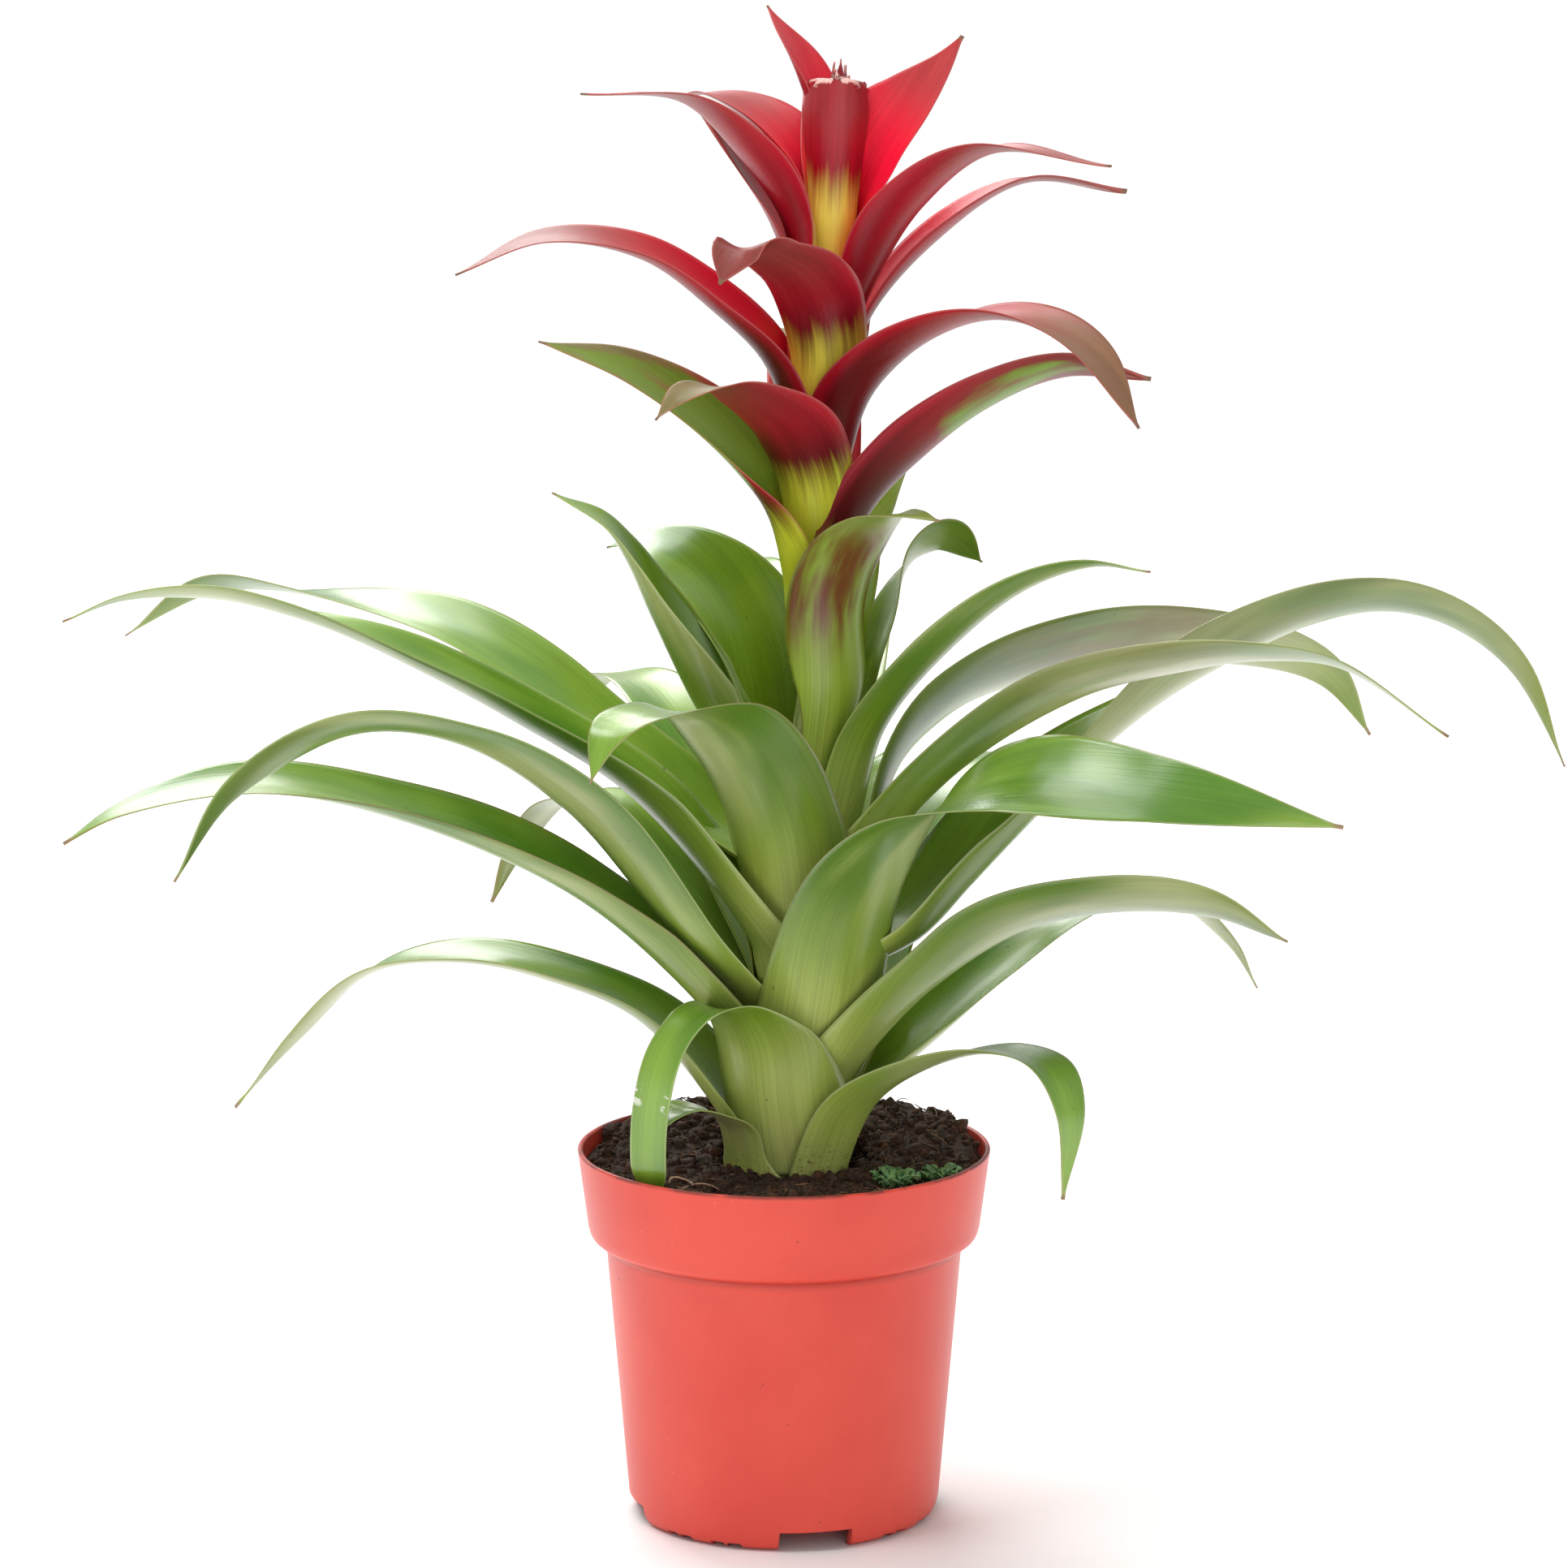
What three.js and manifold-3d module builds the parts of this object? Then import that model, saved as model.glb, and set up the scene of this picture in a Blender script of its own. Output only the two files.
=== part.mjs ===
// A guzmania in its 12 cm nursery pot, in millimetres, +Z up, seen from -Y.
// The origin is on the pot's axis, in the plane that the pot stands on.
import * as THREE from "three";
import * as BufferGeometryUtils from "three/addons/utils/BufferGeometryUtils.js";
import Module from "manifold-3d";

const wasm = await Module();
wasm.setup();

// Nursery pot, one thin moulding: a tapered body below a wider rim band
const POT_HEIGHT = 108.8;
const POT_WALL = 1.7;
const RIM_RADIUS = 60;
const RIM_WALL = 1.5;
const RIM_EDGE = 0.6;
const BAND_FOOT = 82;
const BAND_RADIUS = 57;
const BAND_CORNER = 4;
const BODY_TOP_RADIUS = 51.8;
const BODY_FOOT_RADIUS = 45.3;
const SKIRT_RADIUS = 41.5;
const CORNER_HEIGHT = 4.6;
const FLOOR_LIFT = 8;
const STAND_RADIUS = 22;
const STAND_SLOPE = 3;
const POT_SIDES = 40;
const SOIL_SIDES = 30;

// Arches and low slots that are cut into the pot's foot, and its drain holes
const ARCH_COUNT = 4;
const ARCH_HEIGHT = 6;
const ARCH_WIDTH_DEG = 28;
const ARCH_TURN_DEG = 282;
const SLOT_HEIGHT = 1.8;
const SLOT_WIDTH_DEG = 6;
const SLOT_TURNS_DEG = [-38, -31, 31, 38];
const WEDGE_OUTSIDE = 4;
const WEDGE_INSIDE = 6;
const WEDGE_BELOW = 2;
const DRAIN_RADIUS = 3.5;
const DRAIN_CIRCLE = 34;
const DRAIN_COUNT = 8;
const DRILL_LENGTH = 6;
const DRILL_SIDES = 12;

// Soil, heaped behind the plant, and the clearance that pieces keep where one stands in another
const CLEARANCE = 0.3;
const SOIL_LEVEL = 103.6;
const SOIL_HEAP = 6.5;
const HEAP_FROM = -8;
const HEAP_TO = 32;
const SOIL_EDGE = 3;
const SOIL_RINGS = [54, 50, 45, 40, 34, 28];
const SOIL_HOLE_TOP = 23.5;
const SOIL_HOLE_LOW = 17.2;

// Stem: stout among the green leaves, slim in the flower spike, leaning a little to +X
const LEAN = 0.04;
const LEAN_FROM = 35;
const STEM_FOOT = 60;
const STEM_FOOT_RADIUS = 12.5;
const FIRST_LEAF = 84;
const LAST_LEAF = 212;
const FIRST_BRACT = 245;
const LAST_BRACT = 372;
const STEM_RADII = [[FIRST_LEAF, 14.4], [LAST_LEAF, 8], [FIRST_BRACT, 4.2], [LAST_BRACT, 3.4]];
const SHEATH_EASE = 0.6;
const STEM_TOP = 388;
const STEM_SIDES = 20;

// Flower head: pointed scales round a small core, shut inside the topmost bracts
const HEAD_FOOT = 388.4;
const HEAD_TOP = 423;
const HEAD_RADIUS = 3;
const HEAD_SCALES = 7;
const SCALE_TURN_DEG = 137.5;
const HEAD_SIDES = 9;
const SCALE_STEPS = 4;
const SCALE_FOLDS = 2;

// Leaf blades
const LEAF_THICKNESS = 0.65;
const LEAF_STEPS = 10;
const LEAF_FOLDS = 6;
const BRACT_STEPS = 9;
const BRACT_FOLDS = 5;
const FULL_WRAP_DEG = 100;
const TIP_WIDTH = 1;
const LEAST_REACH = 5;
const FREEING = 0.22;
const NARROWING = 1.15;
const GREEN_LEAF = { slope: 0.25, sheath: [24, 24], blade: 33, channel: 30, neck: 0.38, taper: 0.45,
  fullness: 2, roll: 0, rollFrom: 0.1, rollTo: 0.45, twist: 0, twistFrom: 0.55, twistTo: 0.95 };
const RED_BRACT = { slope: 0.15, sheath: [16, 16], blade: 29, channel: 26, neck: 0.38, taper: 0.45,
  fullness: 2, roll: 0, rollFrom: 0.1, rollTo: 0.5, twist: 0, twistFrom: 0.55, twistTo: 0.95 };
const HEAD_SCALE = { ...RED_BRACT, sheath: [1.6, 1.6], blade: 5.6, channel: 3, neck: 0.3, taper: 0.35 };

const radians = THREE.MathUtils.degToRad;
const mix = THREE.MathUtils.lerp;
const smooth = THREE.MathUtils.smoothstep;

// Each leaf, lowest first: azimuth in degrees from +X, how far its sheath hugs the stem, and the
// points that its midrib passes, as reach from the axis, height and an optional swing to the side.
const LEAVES = [
  [225, 20, [[25, 118], [36, 125], [46, 128], [54, 125], [58, 118]],
    { sheath: [18, 18], blade: 17, taper: 0.5 }],
  [320, 18, [[30, 126], [50, 139], [75, 146], [92, 143], [99, 132], [98, 109]],
    { blade: 21, taper: 0.5, roll: 6 }],
  [100, 14, [[36, 126], [62, 144], [92, 147], [120, 134], [138, 110]], { sheath: [24, 20], blade: 26 }],
  [171, 14, [[46, 145], [72, 156], [100, 161], [127, 156], [149, 136], [167, 114]],
    { sheath: [24, 20], blade: 27, channel: 18, roll: -4, twist: 25 }],
  [236, 22, [[27, 145], [38, 156], [50, 155], [60, 146], [65, 130], [64, 109]],
    { slope: 0.3, sheath: [28, 27.2], blade: 15, neck: 0.6, taper: 0.9 }],
  [18, 12, [[39, 138], [61, 157], [88, 174], [115, 174], [134, 160], [143, 146]],
    { sheath: [22, 26], blade: 28, channel: 22, roll: 8, twist: -25 }],
  [64, 12, [[42, 150], [72, 184], [105, 202], [135, 203], [160, 190]], { sheath: [18, 24], blade: 28 }],
  [336, 12, [[39, 160], [61, 179], [94, 189], [125, 190], [147, 182]],
    { sheath: [22.1, 26], blade: 27, channel: 24, roll: -30, twist: -10 }],
  [190, 12, [[36, 159], [69, 187], [116, 209.5], [163, 221], [197, 214.5], [212.8, 205.3]],
    { sheath: [28, 24], blade: 38, channel: 18, neck: 0.34, roll: -8, twist: -8 }],
  [282, 24, [[36, 184], [51, 206, 2], [66, 221, 11], [86, 230, 30], [107, 229, 68], [127, 222, 120]],
    { slope: 0.4, sheath: [15.4, 25.5], blade: 37, neck: 0.31, roll: 42, rollFrom: 0.25, rollTo: 0.6 }],
  [206, 14, [[41, 176], [72, 213], [108, 236], [145, 242], [177, 228], [193, 204]],
    { slope: 0.15, sheath: [15.4, 17.8], channel: 26, neck: 0.42, roll: 12, twist: 45, twistFrom: 0.6 }],
  [140, 14, [[56, 186], [78, 201], [98, 198], [113, 182], [122, 165]], { sheath: [17, 24], blade: 26 }],
  [118, 14, [[42, 182], [72, 214], [106, 230], [138, 226], [160, 206]],
    { slope: 0.2, sheath: [12, 10], blade: 28 }],
  [4, 12, [[40, 178], [71.4, 209], [112, 247.5], [145, 264], [168, 267], [188, 261], [205, 247],
    [219.4, 218]],
    { sheath: [14.3, 22], blade: 36, channel: 20, taper: 0.35, roll: 28, rollFrom: 0.05, rollTo: 0.2,
      twist: -58, twistFrom: 0.25, twistTo: 0.55 }],
  [84, 14, [[40, 196], [74, 232], [114, 244], [148, 232], [172, 202]], { sheath: [14, 24], blade: 30 }],
  [182, 12, [[50, 212], [85, 235], [125, 256], [150, 265.5], [175, 271.5], [198, 270.5], [214.5, 264]],
    { blade: 34, channel: 16, roll: -4, twist: 30 }],
  [252, 20, [[31, 209], [46, 229, -4], [62, 244, -11], [79, 248, -21], [92, 245, -29], [98, 231, -32]],
    { sheath: [26, 20.4], blade: 38, taper: 0.5 }],
  [34, 12, [[44, 220], [77, 238], [119, 249], [159, 244], [188, 230], [208, 210]],
    { sheath: [7.4, 21.6], blade: 36, channel: 31.6, roll: -10.4, rollFrom: 0.08, rollTo: 0.39 }],
  [338, 12, [[43, 222], [75, 246], [108.7, 257.3], [132.1, 261], [155.6, 259.7], [187.9, 241.8]],
    { sheath: [22, 22], blade: 32, roll: -22 }],
  [158, 12, [[38, 216], [70, 239], [110, 254], [148, 261], [186, 259], [222, 246]],
    { sheath: [24, 12.8], blade: 32.4, channel: 26, roll: -12.8, twist: 20 }],
  [104, 14, [[32, 226], [58, 254], [88, 266], [118, 260], [140, 238]], { sheath: [14, 14], blade: 29 }],
  [318, 18, [[23, 232], [44, 257], [72, 279], [98, 289], [120, 289]],
    { sheath: [12.1, 22], blade: 22, channel: 14, roll: -4, twist: -20 }],
  [203, 16, [[23.5, 223.5], [36, 240.8], [51, 268.5], [59, 284.5], [66.5, 295], [82, 304.3]],
    { sheath: [8, 22], blade: 40, channel: 10, neck: 0.5, taper: 0.4, roll: -22, rollFrom: 0.05,
      rollTo: 0.35 }],
  [150, 18, [[21, 250], [32, 270], [46, 281], [58, 283], [68, 280]], { sheath: [16, 12], blade: 32 }],
  [24, 24, [[18, 246], [24, 270], [34, 286], [45, 289], [56, 278]],
    { sheath: [18, 8.4], blade: 24, neck: 0.5 }],
  [90, 30, [[19, 262], [26, 284], [36, 304], [50, 318]], { sheath: [6, 7], blade: 26, neck: 0.6 }],
  [290, 32, [[15, 270, -3], [23, 288, -3], [36, 296, -1], [48, 299, 4], [60, 300, 9]],
    { slope: 0.18, sheath: [10, 10], blade: 34, neck: 0.45 }],
];

// The flower spike's bracts, lowest first, given in the same way.
const BRACTS = [
  [194, 34, [[17, 297], [34, 316], [58, 333], [83, 343.8]],
    { sheath: [6, 16], blade: 32.8, channel: 17.6, roll: -11.2 }],
  [357, 28, [[13, 293], [24, 308], [45, 326], [68, 336], [92, 333]],
    { sheath: [16, 5.6], channel: 14, roll: 6 }],
  [98, 26, [[15, 304], [30, 326], [54, 340], [80, 336]], { sheath: [6, 3] }],
  [262, 18, [[12, 303, -2], [17, 312, -4], [24, 322, -7], [33, 331.5, -14.5], [43, 338, -24.5],
    [50, 337, -34], [54, 329.5, -40]], { sheath: [14, 14], blade: 31, neck: 0.35 }],
  [322, 38, [[14, 328], [27, 341], [52, 348], [82, 343], [108, 326]],
    { slope: 0.08, sheath: [5.6, 4.8], blade: 31, channel: 16, roll: -4 }],
  [186, 38, [[18, 338], [33, 353], [54, 368], [82, 373], [106, 363]],
    { sheath: [4.8, 5.6], blade: 30, channel: 14, roll: -12 }],
  [90, 34, [[15, 346], [34, 366], [56, 376], [80, 370]], { sheath: [5, 5], blade: 28 }],
  [262, 22, [[12, 340, 1], [15, 350, 0], [20, 359, -2], [29, 368, -6], [38, 374, -13], [45, 377, -20],
    [51, 367, -24]], { sheath: [14, 5.6], blade: 30, neck: 0.35 }],
  [13, 30, [[12, 350], [30, 371], [55, 387], [86, 384]],
    { slope: 0.1, sheath: [4, 6], blade: 26, channel: 12, neck: 0.6, roll: -6 }],
  [330, 30, [[14, 363], [26, 382], [48, 398], [87, 396]],
    { slope: 0.05, sheath: [5, 4], channel: 12, neck: 0.5, roll: -6 }],
  [172, 38, [[17, 376], [27, 392], [38, 407]], { sheath: [9, 9], blade: 18 }],
  [204, 34, [[14, 378], [27, 396], [46, 412], [78, 415]], { sheath: [6, 5], channel: 16, roll: 8 }],
  [60, 28, [[14, 382], [24, 400], [38, 408], [54, 402]], { sheath: [3, 6], blade: 26 }],
  [150, 32, [[13, 390], [22, 403], [34, 411], [48, 410]], { sheath: [6, 12], blade: 28 }],
  [110, 22, [[9, 390], [17, 405], [28, 414]], { slope: 0.08, sheath: [3, 3], blade: 16, neck: 0.6 }],
  [345, 16, [[10, 384], [16, 400], [21.5, 411], [27.5, 421], [34, 429.7]],
    { sheath: [8.4, 7], blade: 34, channel: 9, taper: 0.4, roll: 25, rollTo: 0.4 }],
  [266, 14, [[8, 392], [9.5, 408], [8, 418]],
    { sheath: [5, 8], blade: 24, taper: 0.85, neck: 0.35, channel: 10, fullness: 3 }],
  [150, 20, [[5.5, 400], [12, 425], [24, 437]],
    { slope: 0.05, sheath: [5, 4], blade: 17, channel: 12, neck: 0.8, taper: 0.5 }],
];

// Radius of the stem at a height, between the sizes given above.
function stemRadius(height) {
  for (let i = 1; i < STEM_RADII.length; i += 1) {
    const [low, lowRadius] = STEM_RADII[i - 1];
    const [high, highRadius] = STEM_RADII[i];
    if (height <= high || i === STEM_RADII.length - 1) {
      return mix(lowRadius, highRadius, THREE.MathUtils.clamp((height - low) / (high - low), 0, 1));
    }
  }
  return STEM_RADII[0][1];
}

// The plant leans: a point moves to +X in proportion to its height.
function leaned(point) {
  return point.setX(point.x + LEAN * (point.z - LEAN_FROM));
}

// The midrib in its own frame: x is reach, y is height, z is the swing to the side.
function midrib(node, rise, way, form) {
  const seat = stemRadius(node) + SHEATH_EASE + CLEARANCE + LEAF_THICKNESS / 2;
  const hugging = [0, 0.5, 1].map((part) =>
    new THREE.Vector3(seat + form.slope * rise * part, node + rise * part, 0));
  const free = way.map(([reach, height, swing = 0]) => new THREE.Vector3(reach, height, swing));
  return new THREE.CatmullRomCurve3([...hugging, ...free], false, "centripetal");
}

// One row of a leaf's middle surface: an arc across the midrib. On the stem it is level and centred
// on the stem, and further out it is square to the midrib and opens into a shallow channel.
function leafRow(curve, length, u, rise, form, folds) {
  const rib = curve.getPointAt(u);
  const tangent = curve.getTangentAt(u);
  const hug = rise / length;
  const free = smooth(u, hug * 0.6, hug * 0.6 + FREEING);
  const side = new THREE.Vector3(0, 0, 1);
  const squareSide = side.clone().addScaledVector(tangent, -tangent.z).normalize();
  side.lerp(squareSide, free).normalize();
  const level = new THREE.Vector3(-1, 0, 0);
  const square = new THREE.Vector3(-tangent.y, tangent.x, 0).normalize();
  const inward = level.lerp(square, free);
  inward.addScaledVector(side, -inward.dot(side)).normalize();
  const roll = radians(form.roll) * smooth(u, form.rollFrom, form.rollTo)
    + radians(form.twist) * smooth(u, form.twistFrom, form.twistTo);
  const across = side.clone().multiplyScalar(Math.cos(roll)).addScaledVector(inward, Math.sin(roll));
  const upward = inward.clone().multiplyScalar(Math.cos(roll)).addScaledVector(side, -Math.sin(roll));

  const past = Math.max(0, (u - form.taper) / (1 - form.taper));
  const strap = smooth(u, hug * 0.5, form.neck);
  const narrowing = (1 - past ** form.fullness) ** NARROWING;
  const channel = form.channel * (1 + smooth(u, 0.25, 1));
  const reach = Math.max(rib.x, LEAST_REACH);
  const bounded = reach * channel / (reach ** 4 + channel ** 4) ** 0.25;
  const radius = mix(reach, bounded, free);
  const [near, far] = form.sheath.map((sheath) => {
    const width = Math.max(TIP_WIDTH / 2, mix(sheath, form.blade / 2, strap) * narrowing);
    return Math.min(width / radius, radians(FULL_WRAP_DEG));
  });
  const row = [];
  for (let j = 0; j <= folds; j += 1) {
    const angle = mix(-near, far, j / folds);
    row.push(rib.clone()
      .addScaledVector(across, radius * Math.sin(angle))
      .addScaledVector(upward, radius * (1 - Math.cos(angle))));
  }
  return row;
}

// A leaf's middle surface as rows of points in the shared frame, turned to its azimuth.
function placed(curve, azimuth, rise, form, steps, folds) {
  const length = curve.getLength();
  const outward = new THREE.Vector3(Math.cos(radians(azimuth)), Math.sin(radians(azimuth)), 0);
  const sideways = new THREE.Vector3(-outward.y, outward.x, 0);
  const rows = [];
  for (let i = 0; i <= steps; i += 1) {
    rows.push(leafRow(curve, length, i / steps, rise, form, folds).map((p) =>
      leaned(outward.clone().multiplyScalar(p.x).addScaledVector(sideways, p.z).setZ(p.y))));
  }
  return rows;
}

// A sheet of even thickness round rows of points, split the same way on both faces.
function sheetGeometry(rows, thickness) {
  const steps = rows.length - 1;
  const across = rows[0].length - 1;
  const at = (i, j) => rows[THREE.MathUtils.clamp(i, 0, steps)][THREE.MathUtils.clamp(j, 0, across)];
  const upper = [];
  const lower = [];
  for (let i = 0; i <= steps; i += 1) {
    for (let j = 0; j <= across; j += 1) {
      const along = at(i + 1, j).clone().sub(at(i - 1, j));
      const over = at(i, j + 1).clone().sub(at(i, j - 1));
      const offset = along.cross(over).setLength(thickness / 2);
      upper.push(at(i, j).clone().add(offset));
      lower.push(at(i, j).clone().sub(offset));
    }
  }
  const count = upper.length;
  const index = (i, j) => i * (across + 1) + j;
  const faces = [];
  const wall = (a, b) => faces.push(a, a + count, b + count, a, b + count, b);
  for (let i = 0; i < steps; i += 1) {
    for (let j = 0; j < across; j += 1) {
      const [a, b, c, d] = [index(i, j), index(i + 1, j), index(i + 1, j + 1), index(i, j + 1)];
      faces.push(a, b, c, a, c, d);
      faces.push(a + count, c + count, b + count, a + count, d + count, c + count);
    }
    wall(index(i, 0), index(i + 1, 0));
    wall(index(i + 1, across), index(i, across));
  }
  for (let j = 0; j < across; j += 1) {
    wall(index(0, j + 1), index(0, j));
    wall(index(steps, j), index(steps, j + 1));
  }
  const geometry = new THREE.BufferGeometry().setFromPoints([...upper, ...lower]);
  geometry.setIndex(faces);
  return geometry;
}

function leafGeometry(azimuth, node, rise, way, form, steps, folds) {
  const rows = placed(midrib(node, rise, way, form), azimuth, rise, form, steps, folds);
  return sheetGeometry(rows, LEAF_THICKNESS);
}

// A solid for cutting and joining, from a closed geometry.
function solidOf(geometry) {
  const bare = geometry.clone();
  bare.deleteAttribute("normal");
  bare.deleteAttribute("uv");
  const merged = BufferGeometryUtils.mergeVertices(bare, 1e-4);
  return new wasm.Manifold(new wasm.Mesh({
    numProp: 3,
    vertProperties: new Float32Array(merged.attributes.position.array),
    triVerts: new Uint32Array(merged.index.array),
  }));
}

function geometryOf(solid) {
  const mesh = solid.getMesh();
  const geometry = new THREE.BufferGeometry();
  geometry.setAttribute("position", new THREE.BufferAttribute(new Float32Array(mesh.vertProperties), 3));
  geometry.setIndex(new THREE.BufferAttribute(new Uint32Array(mesh.triVerts), 1));
  return geometry;
}

// A lathe turns its profile about Y, so it is stood up on Z here.
function turned(profile, sides) {
  const points = profile.map(([radius, height]) => new THREE.Vector2(radius, height));
  return new THREE.LatheGeometry(points, sides).rotateX(Math.PI / 2);
}

// Gives a geometry the plant's lean.
function bent(geometry) {
  const place = geometry.attributes.position;
  const point = new THREE.Vector3();
  for (let i = 0; i < place.count; i += 1) {
    leaned(point.fromBufferAttribute(place, i));
    place.setXYZ(i, point.x, point.y, point.z);
  }
  return geometry;
}

// A wedge of the foot ring about an angle, from below the pot up to a height.
function footWedge(middleDeg, widthDeg, height) {
  const fromDeg = middleDeg - widthDeg / 2;
  const toDeg = middleDeg + widthDeg / 2;
  const outline = new THREE.Shape();
  outline.absarc(0, 0, BODY_FOOT_RADIUS + WEDGE_OUTSIDE, radians(fromDeg), radians(toDeg), false);
  outline.absarc(0, 0, SKIRT_RADIUS - WEDGE_INSIDE, radians(toDeg), radians(fromDeg), true);
  outline.closePath();
  const settings = { depth: height + WEDGE_BELOW, bevelEnabled: false, curveSegments: 4 };
  return new THREE.ExtrudeGeometry(outline, settings).translate(0, 0, -WEDGE_BELOW);
}

function potGeometry() {
  const floorTop = FLOOR_LIFT + POT_WALL;
  const inFoot = BODY_FOOT_RADIUS - POT_WALL;
  const inSkirt = SKIRT_RADIUS - POT_WALL;
  const bandTop = BAND_FOOT + BAND_CORNER;
  const outside = [
    [SKIRT_RADIUS, 0], [SKIRT_RADIUS + 2.3, 1], [BODY_FOOT_RADIUS - 0.5, 2.6],
    [BODY_FOOT_RADIUS, CORNER_HEIGHT], [BODY_TOP_RADIUS, BAND_FOOT - 1.6],
    [BODY_TOP_RADIUS + 1, BAND_FOOT - 0.4], [BAND_RADIUS - 2.4, BAND_FOOT + 0.3],
    [BAND_RADIUS - 0.7, BAND_FOOT + 1.6], [BAND_RADIUS, bandTop],
    [RIM_RADIUS - 0.2, POT_HEIGHT - 1.4], [RIM_RADIUS, POT_HEIGHT - RIM_EDGE],
    [RIM_RADIUS - 0.5, POT_HEIGHT],
  ];
  const inside = [
    [RIM_RADIUS - RIM_WALL, POT_HEIGHT], [BAND_RADIUS - POT_WALL, bandTop],
    [BAND_RADIUS - POT_WALL - 1, BAND_FOOT + 2.2], [BODY_TOP_RADIUS - POT_WALL + 0.6, BAND_FOOT + 1.2],
    [BODY_TOP_RADIUS - POT_WALL, BAND_FOOT - 0.4], [inFoot + 0.4, floorTop],
  ];
  const floorFoot = STAND_RADIUS + 0.8;
  const floor = [[floorFoot + STAND_SLOPE, floorTop], [floorFoot, POT_WALL], [0, POT_WALL]];
  const under = [
    [0, 0], [STAND_RADIUS, 0], [STAND_RADIUS + STAND_SLOPE, FLOOR_LIFT], [inFoot + 0.2, FLOOR_LIFT],
    [inFoot, CORNER_HEIGHT], [inSkirt + 0.6, 1.2], [inSkirt, 0],
  ];
  const profile = [...under, ...outside, ...inside, ...floor];
  let pot = solidOf(turned(profile, POT_SIDES));
  const quarter = 360 / ARCH_COUNT;
  for (let k = 0; k < ARCH_COUNT; k += 1) {
    const middle = ARCH_TURN_DEG + k * quarter;
    pot = pot.subtract(solidOf(footWedge(middle, ARCH_WIDTH_DEG, ARCH_HEIGHT)));
    for (const turn of SLOT_TURNS_DEG) {
      pot = pot.subtract(solidOf(footWedge(middle + turn, SLOT_WIDTH_DEG, SLOT_HEIGHT)));
    }
  }
  for (let k = 0; k < DRAIN_COUNT; k += 1) {
    const turn = radians(360 / DRAIN_COUNT * (k + 0.5));
    const drill = new THREE.CylinderGeometry(DRAIN_RADIUS, DRAIN_RADIUS, DRILL_LENGTH, DRILL_SIDES)
      .rotateX(Math.PI / 2)
      .translate(DRAIN_CIRCLE * Math.cos(turn), DRAIN_CIRCLE * Math.sin(turn), FLOOR_LIFT + 1);
    pot = pot.subtract(solidOf(drill));
  }
  return geometryOf(pot);
}

// The soil's surface: heaped behind the plant, uneven by a few long waves.
function soilHeight(x, y) {
  const heap = SOIL_HEAP * smooth(y + 0.2 * x, HEAP_FROM, HEAP_TO);
  const longWave = 0.7 * Math.sin(x * 0.19 + 1.1) * Math.cos(y * 0.16 - 0.4);
  const shortWave = 0.5 * Math.sin(x * 0.41 - y * 0.33);
  return SOIL_LEVEL + heap + longWave + shortWave;
}

// Peat that fills the pot, with a plain tapered hole that the plant's foot stands in.
function soilGeometry() {
  const gap = CLEARANCE;
  const bandHeight = POT_HEIGHT - BAND_FOOT - BAND_CORNER;
  const wallTaper = (RIM_RADIUS - RIM_WALL - BAND_RADIUS + POT_WALL) / bandHeight;
  const wallTop = RIM_RADIUS - RIM_WALL - (POT_HEIGHT - SOIL_LEVEL) * wallTaper - gap - 0.1;
  const rings = [wallTop, ...SOIL_RINGS, SOIL_HOLE_TOP];
  const inner = POT_WALL + gap;
  const profile = [
    [0, inner], [STAND_RADIUS + 0.4, inner], [STAND_RADIUS + STAND_SLOPE + 0.4, FLOOR_LIFT + inner],
    [BODY_FOOT_RADIUS - inner + 0.4, FLOOR_LIFT + inner], [BODY_TOP_RADIUS - inner - 0.1, BAND_FOOT - 0.4],
    [BODY_TOP_RADIUS - inner + 0.3, BAND_FOOT + 1.7], [BAND_RADIUS - inner - 1.1, BAND_FOOT + 2.7],
    [BAND_RADIUS - inner - 0.05, BAND_FOOT + BAND_CORNER + gap],
    ...rings.map((radius) => [radius, SOIL_LEVEL]),
    [SOIL_HOLE_LOW, FIRST_LEAF - 1], [STEM_FOOT_RADIUS + gap, STEM_FOOT - gap], [0, STEM_FOOT - gap],
  ];
  const geometry = turned(profile, SOIL_SIDES);
  const place = geometry.attributes.position;
  const point = new THREE.Vector3();
  for (let i = 0; i < place.count; i += 1) {
    point.fromBufferAttribute(place, i);
    const radius = Math.hypot(point.x, point.y);
    if (Math.abs(point.z - SOIL_LEVEL) < 0.01) {
      const inside = 1 - smooth(radius, wallTop - SOIL_EDGE, wallTop);
      point.z = mix(SOIL_LEVEL, soilHeight(point.x, point.y), inside);
    }
    const moved = point.z > STEM_FOOT - 1 ? 1 - smooth(radius, SOIL_HOLE_TOP + 1, 45) : 0;
    point.x += moved * LEAN * (point.z - LEAN_FROM);
    place.setXYZ(i, point.x, point.y, point.z);
  }
  geometry.deleteAttribute("normal");
  geometry.deleteAttribute("uv");
  return BufferGeometryUtils.mergeVertices(geometry, 1e-3);
}

function stemGeometry() {
  const topRadius = STEM_RADII[STEM_RADII.length - 1][1] - 1;
  const profile = [[0, STEM_FOOT], [STEM_FOOT_RADIUS, STEM_FOOT], ...STEM_RADII.map(([z, r]) => [r, z]),
    [topRadius, STEM_TOP - 1], [0, STEM_TOP]];
  return bent(turned(profile, STEM_SIDES));
}

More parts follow.
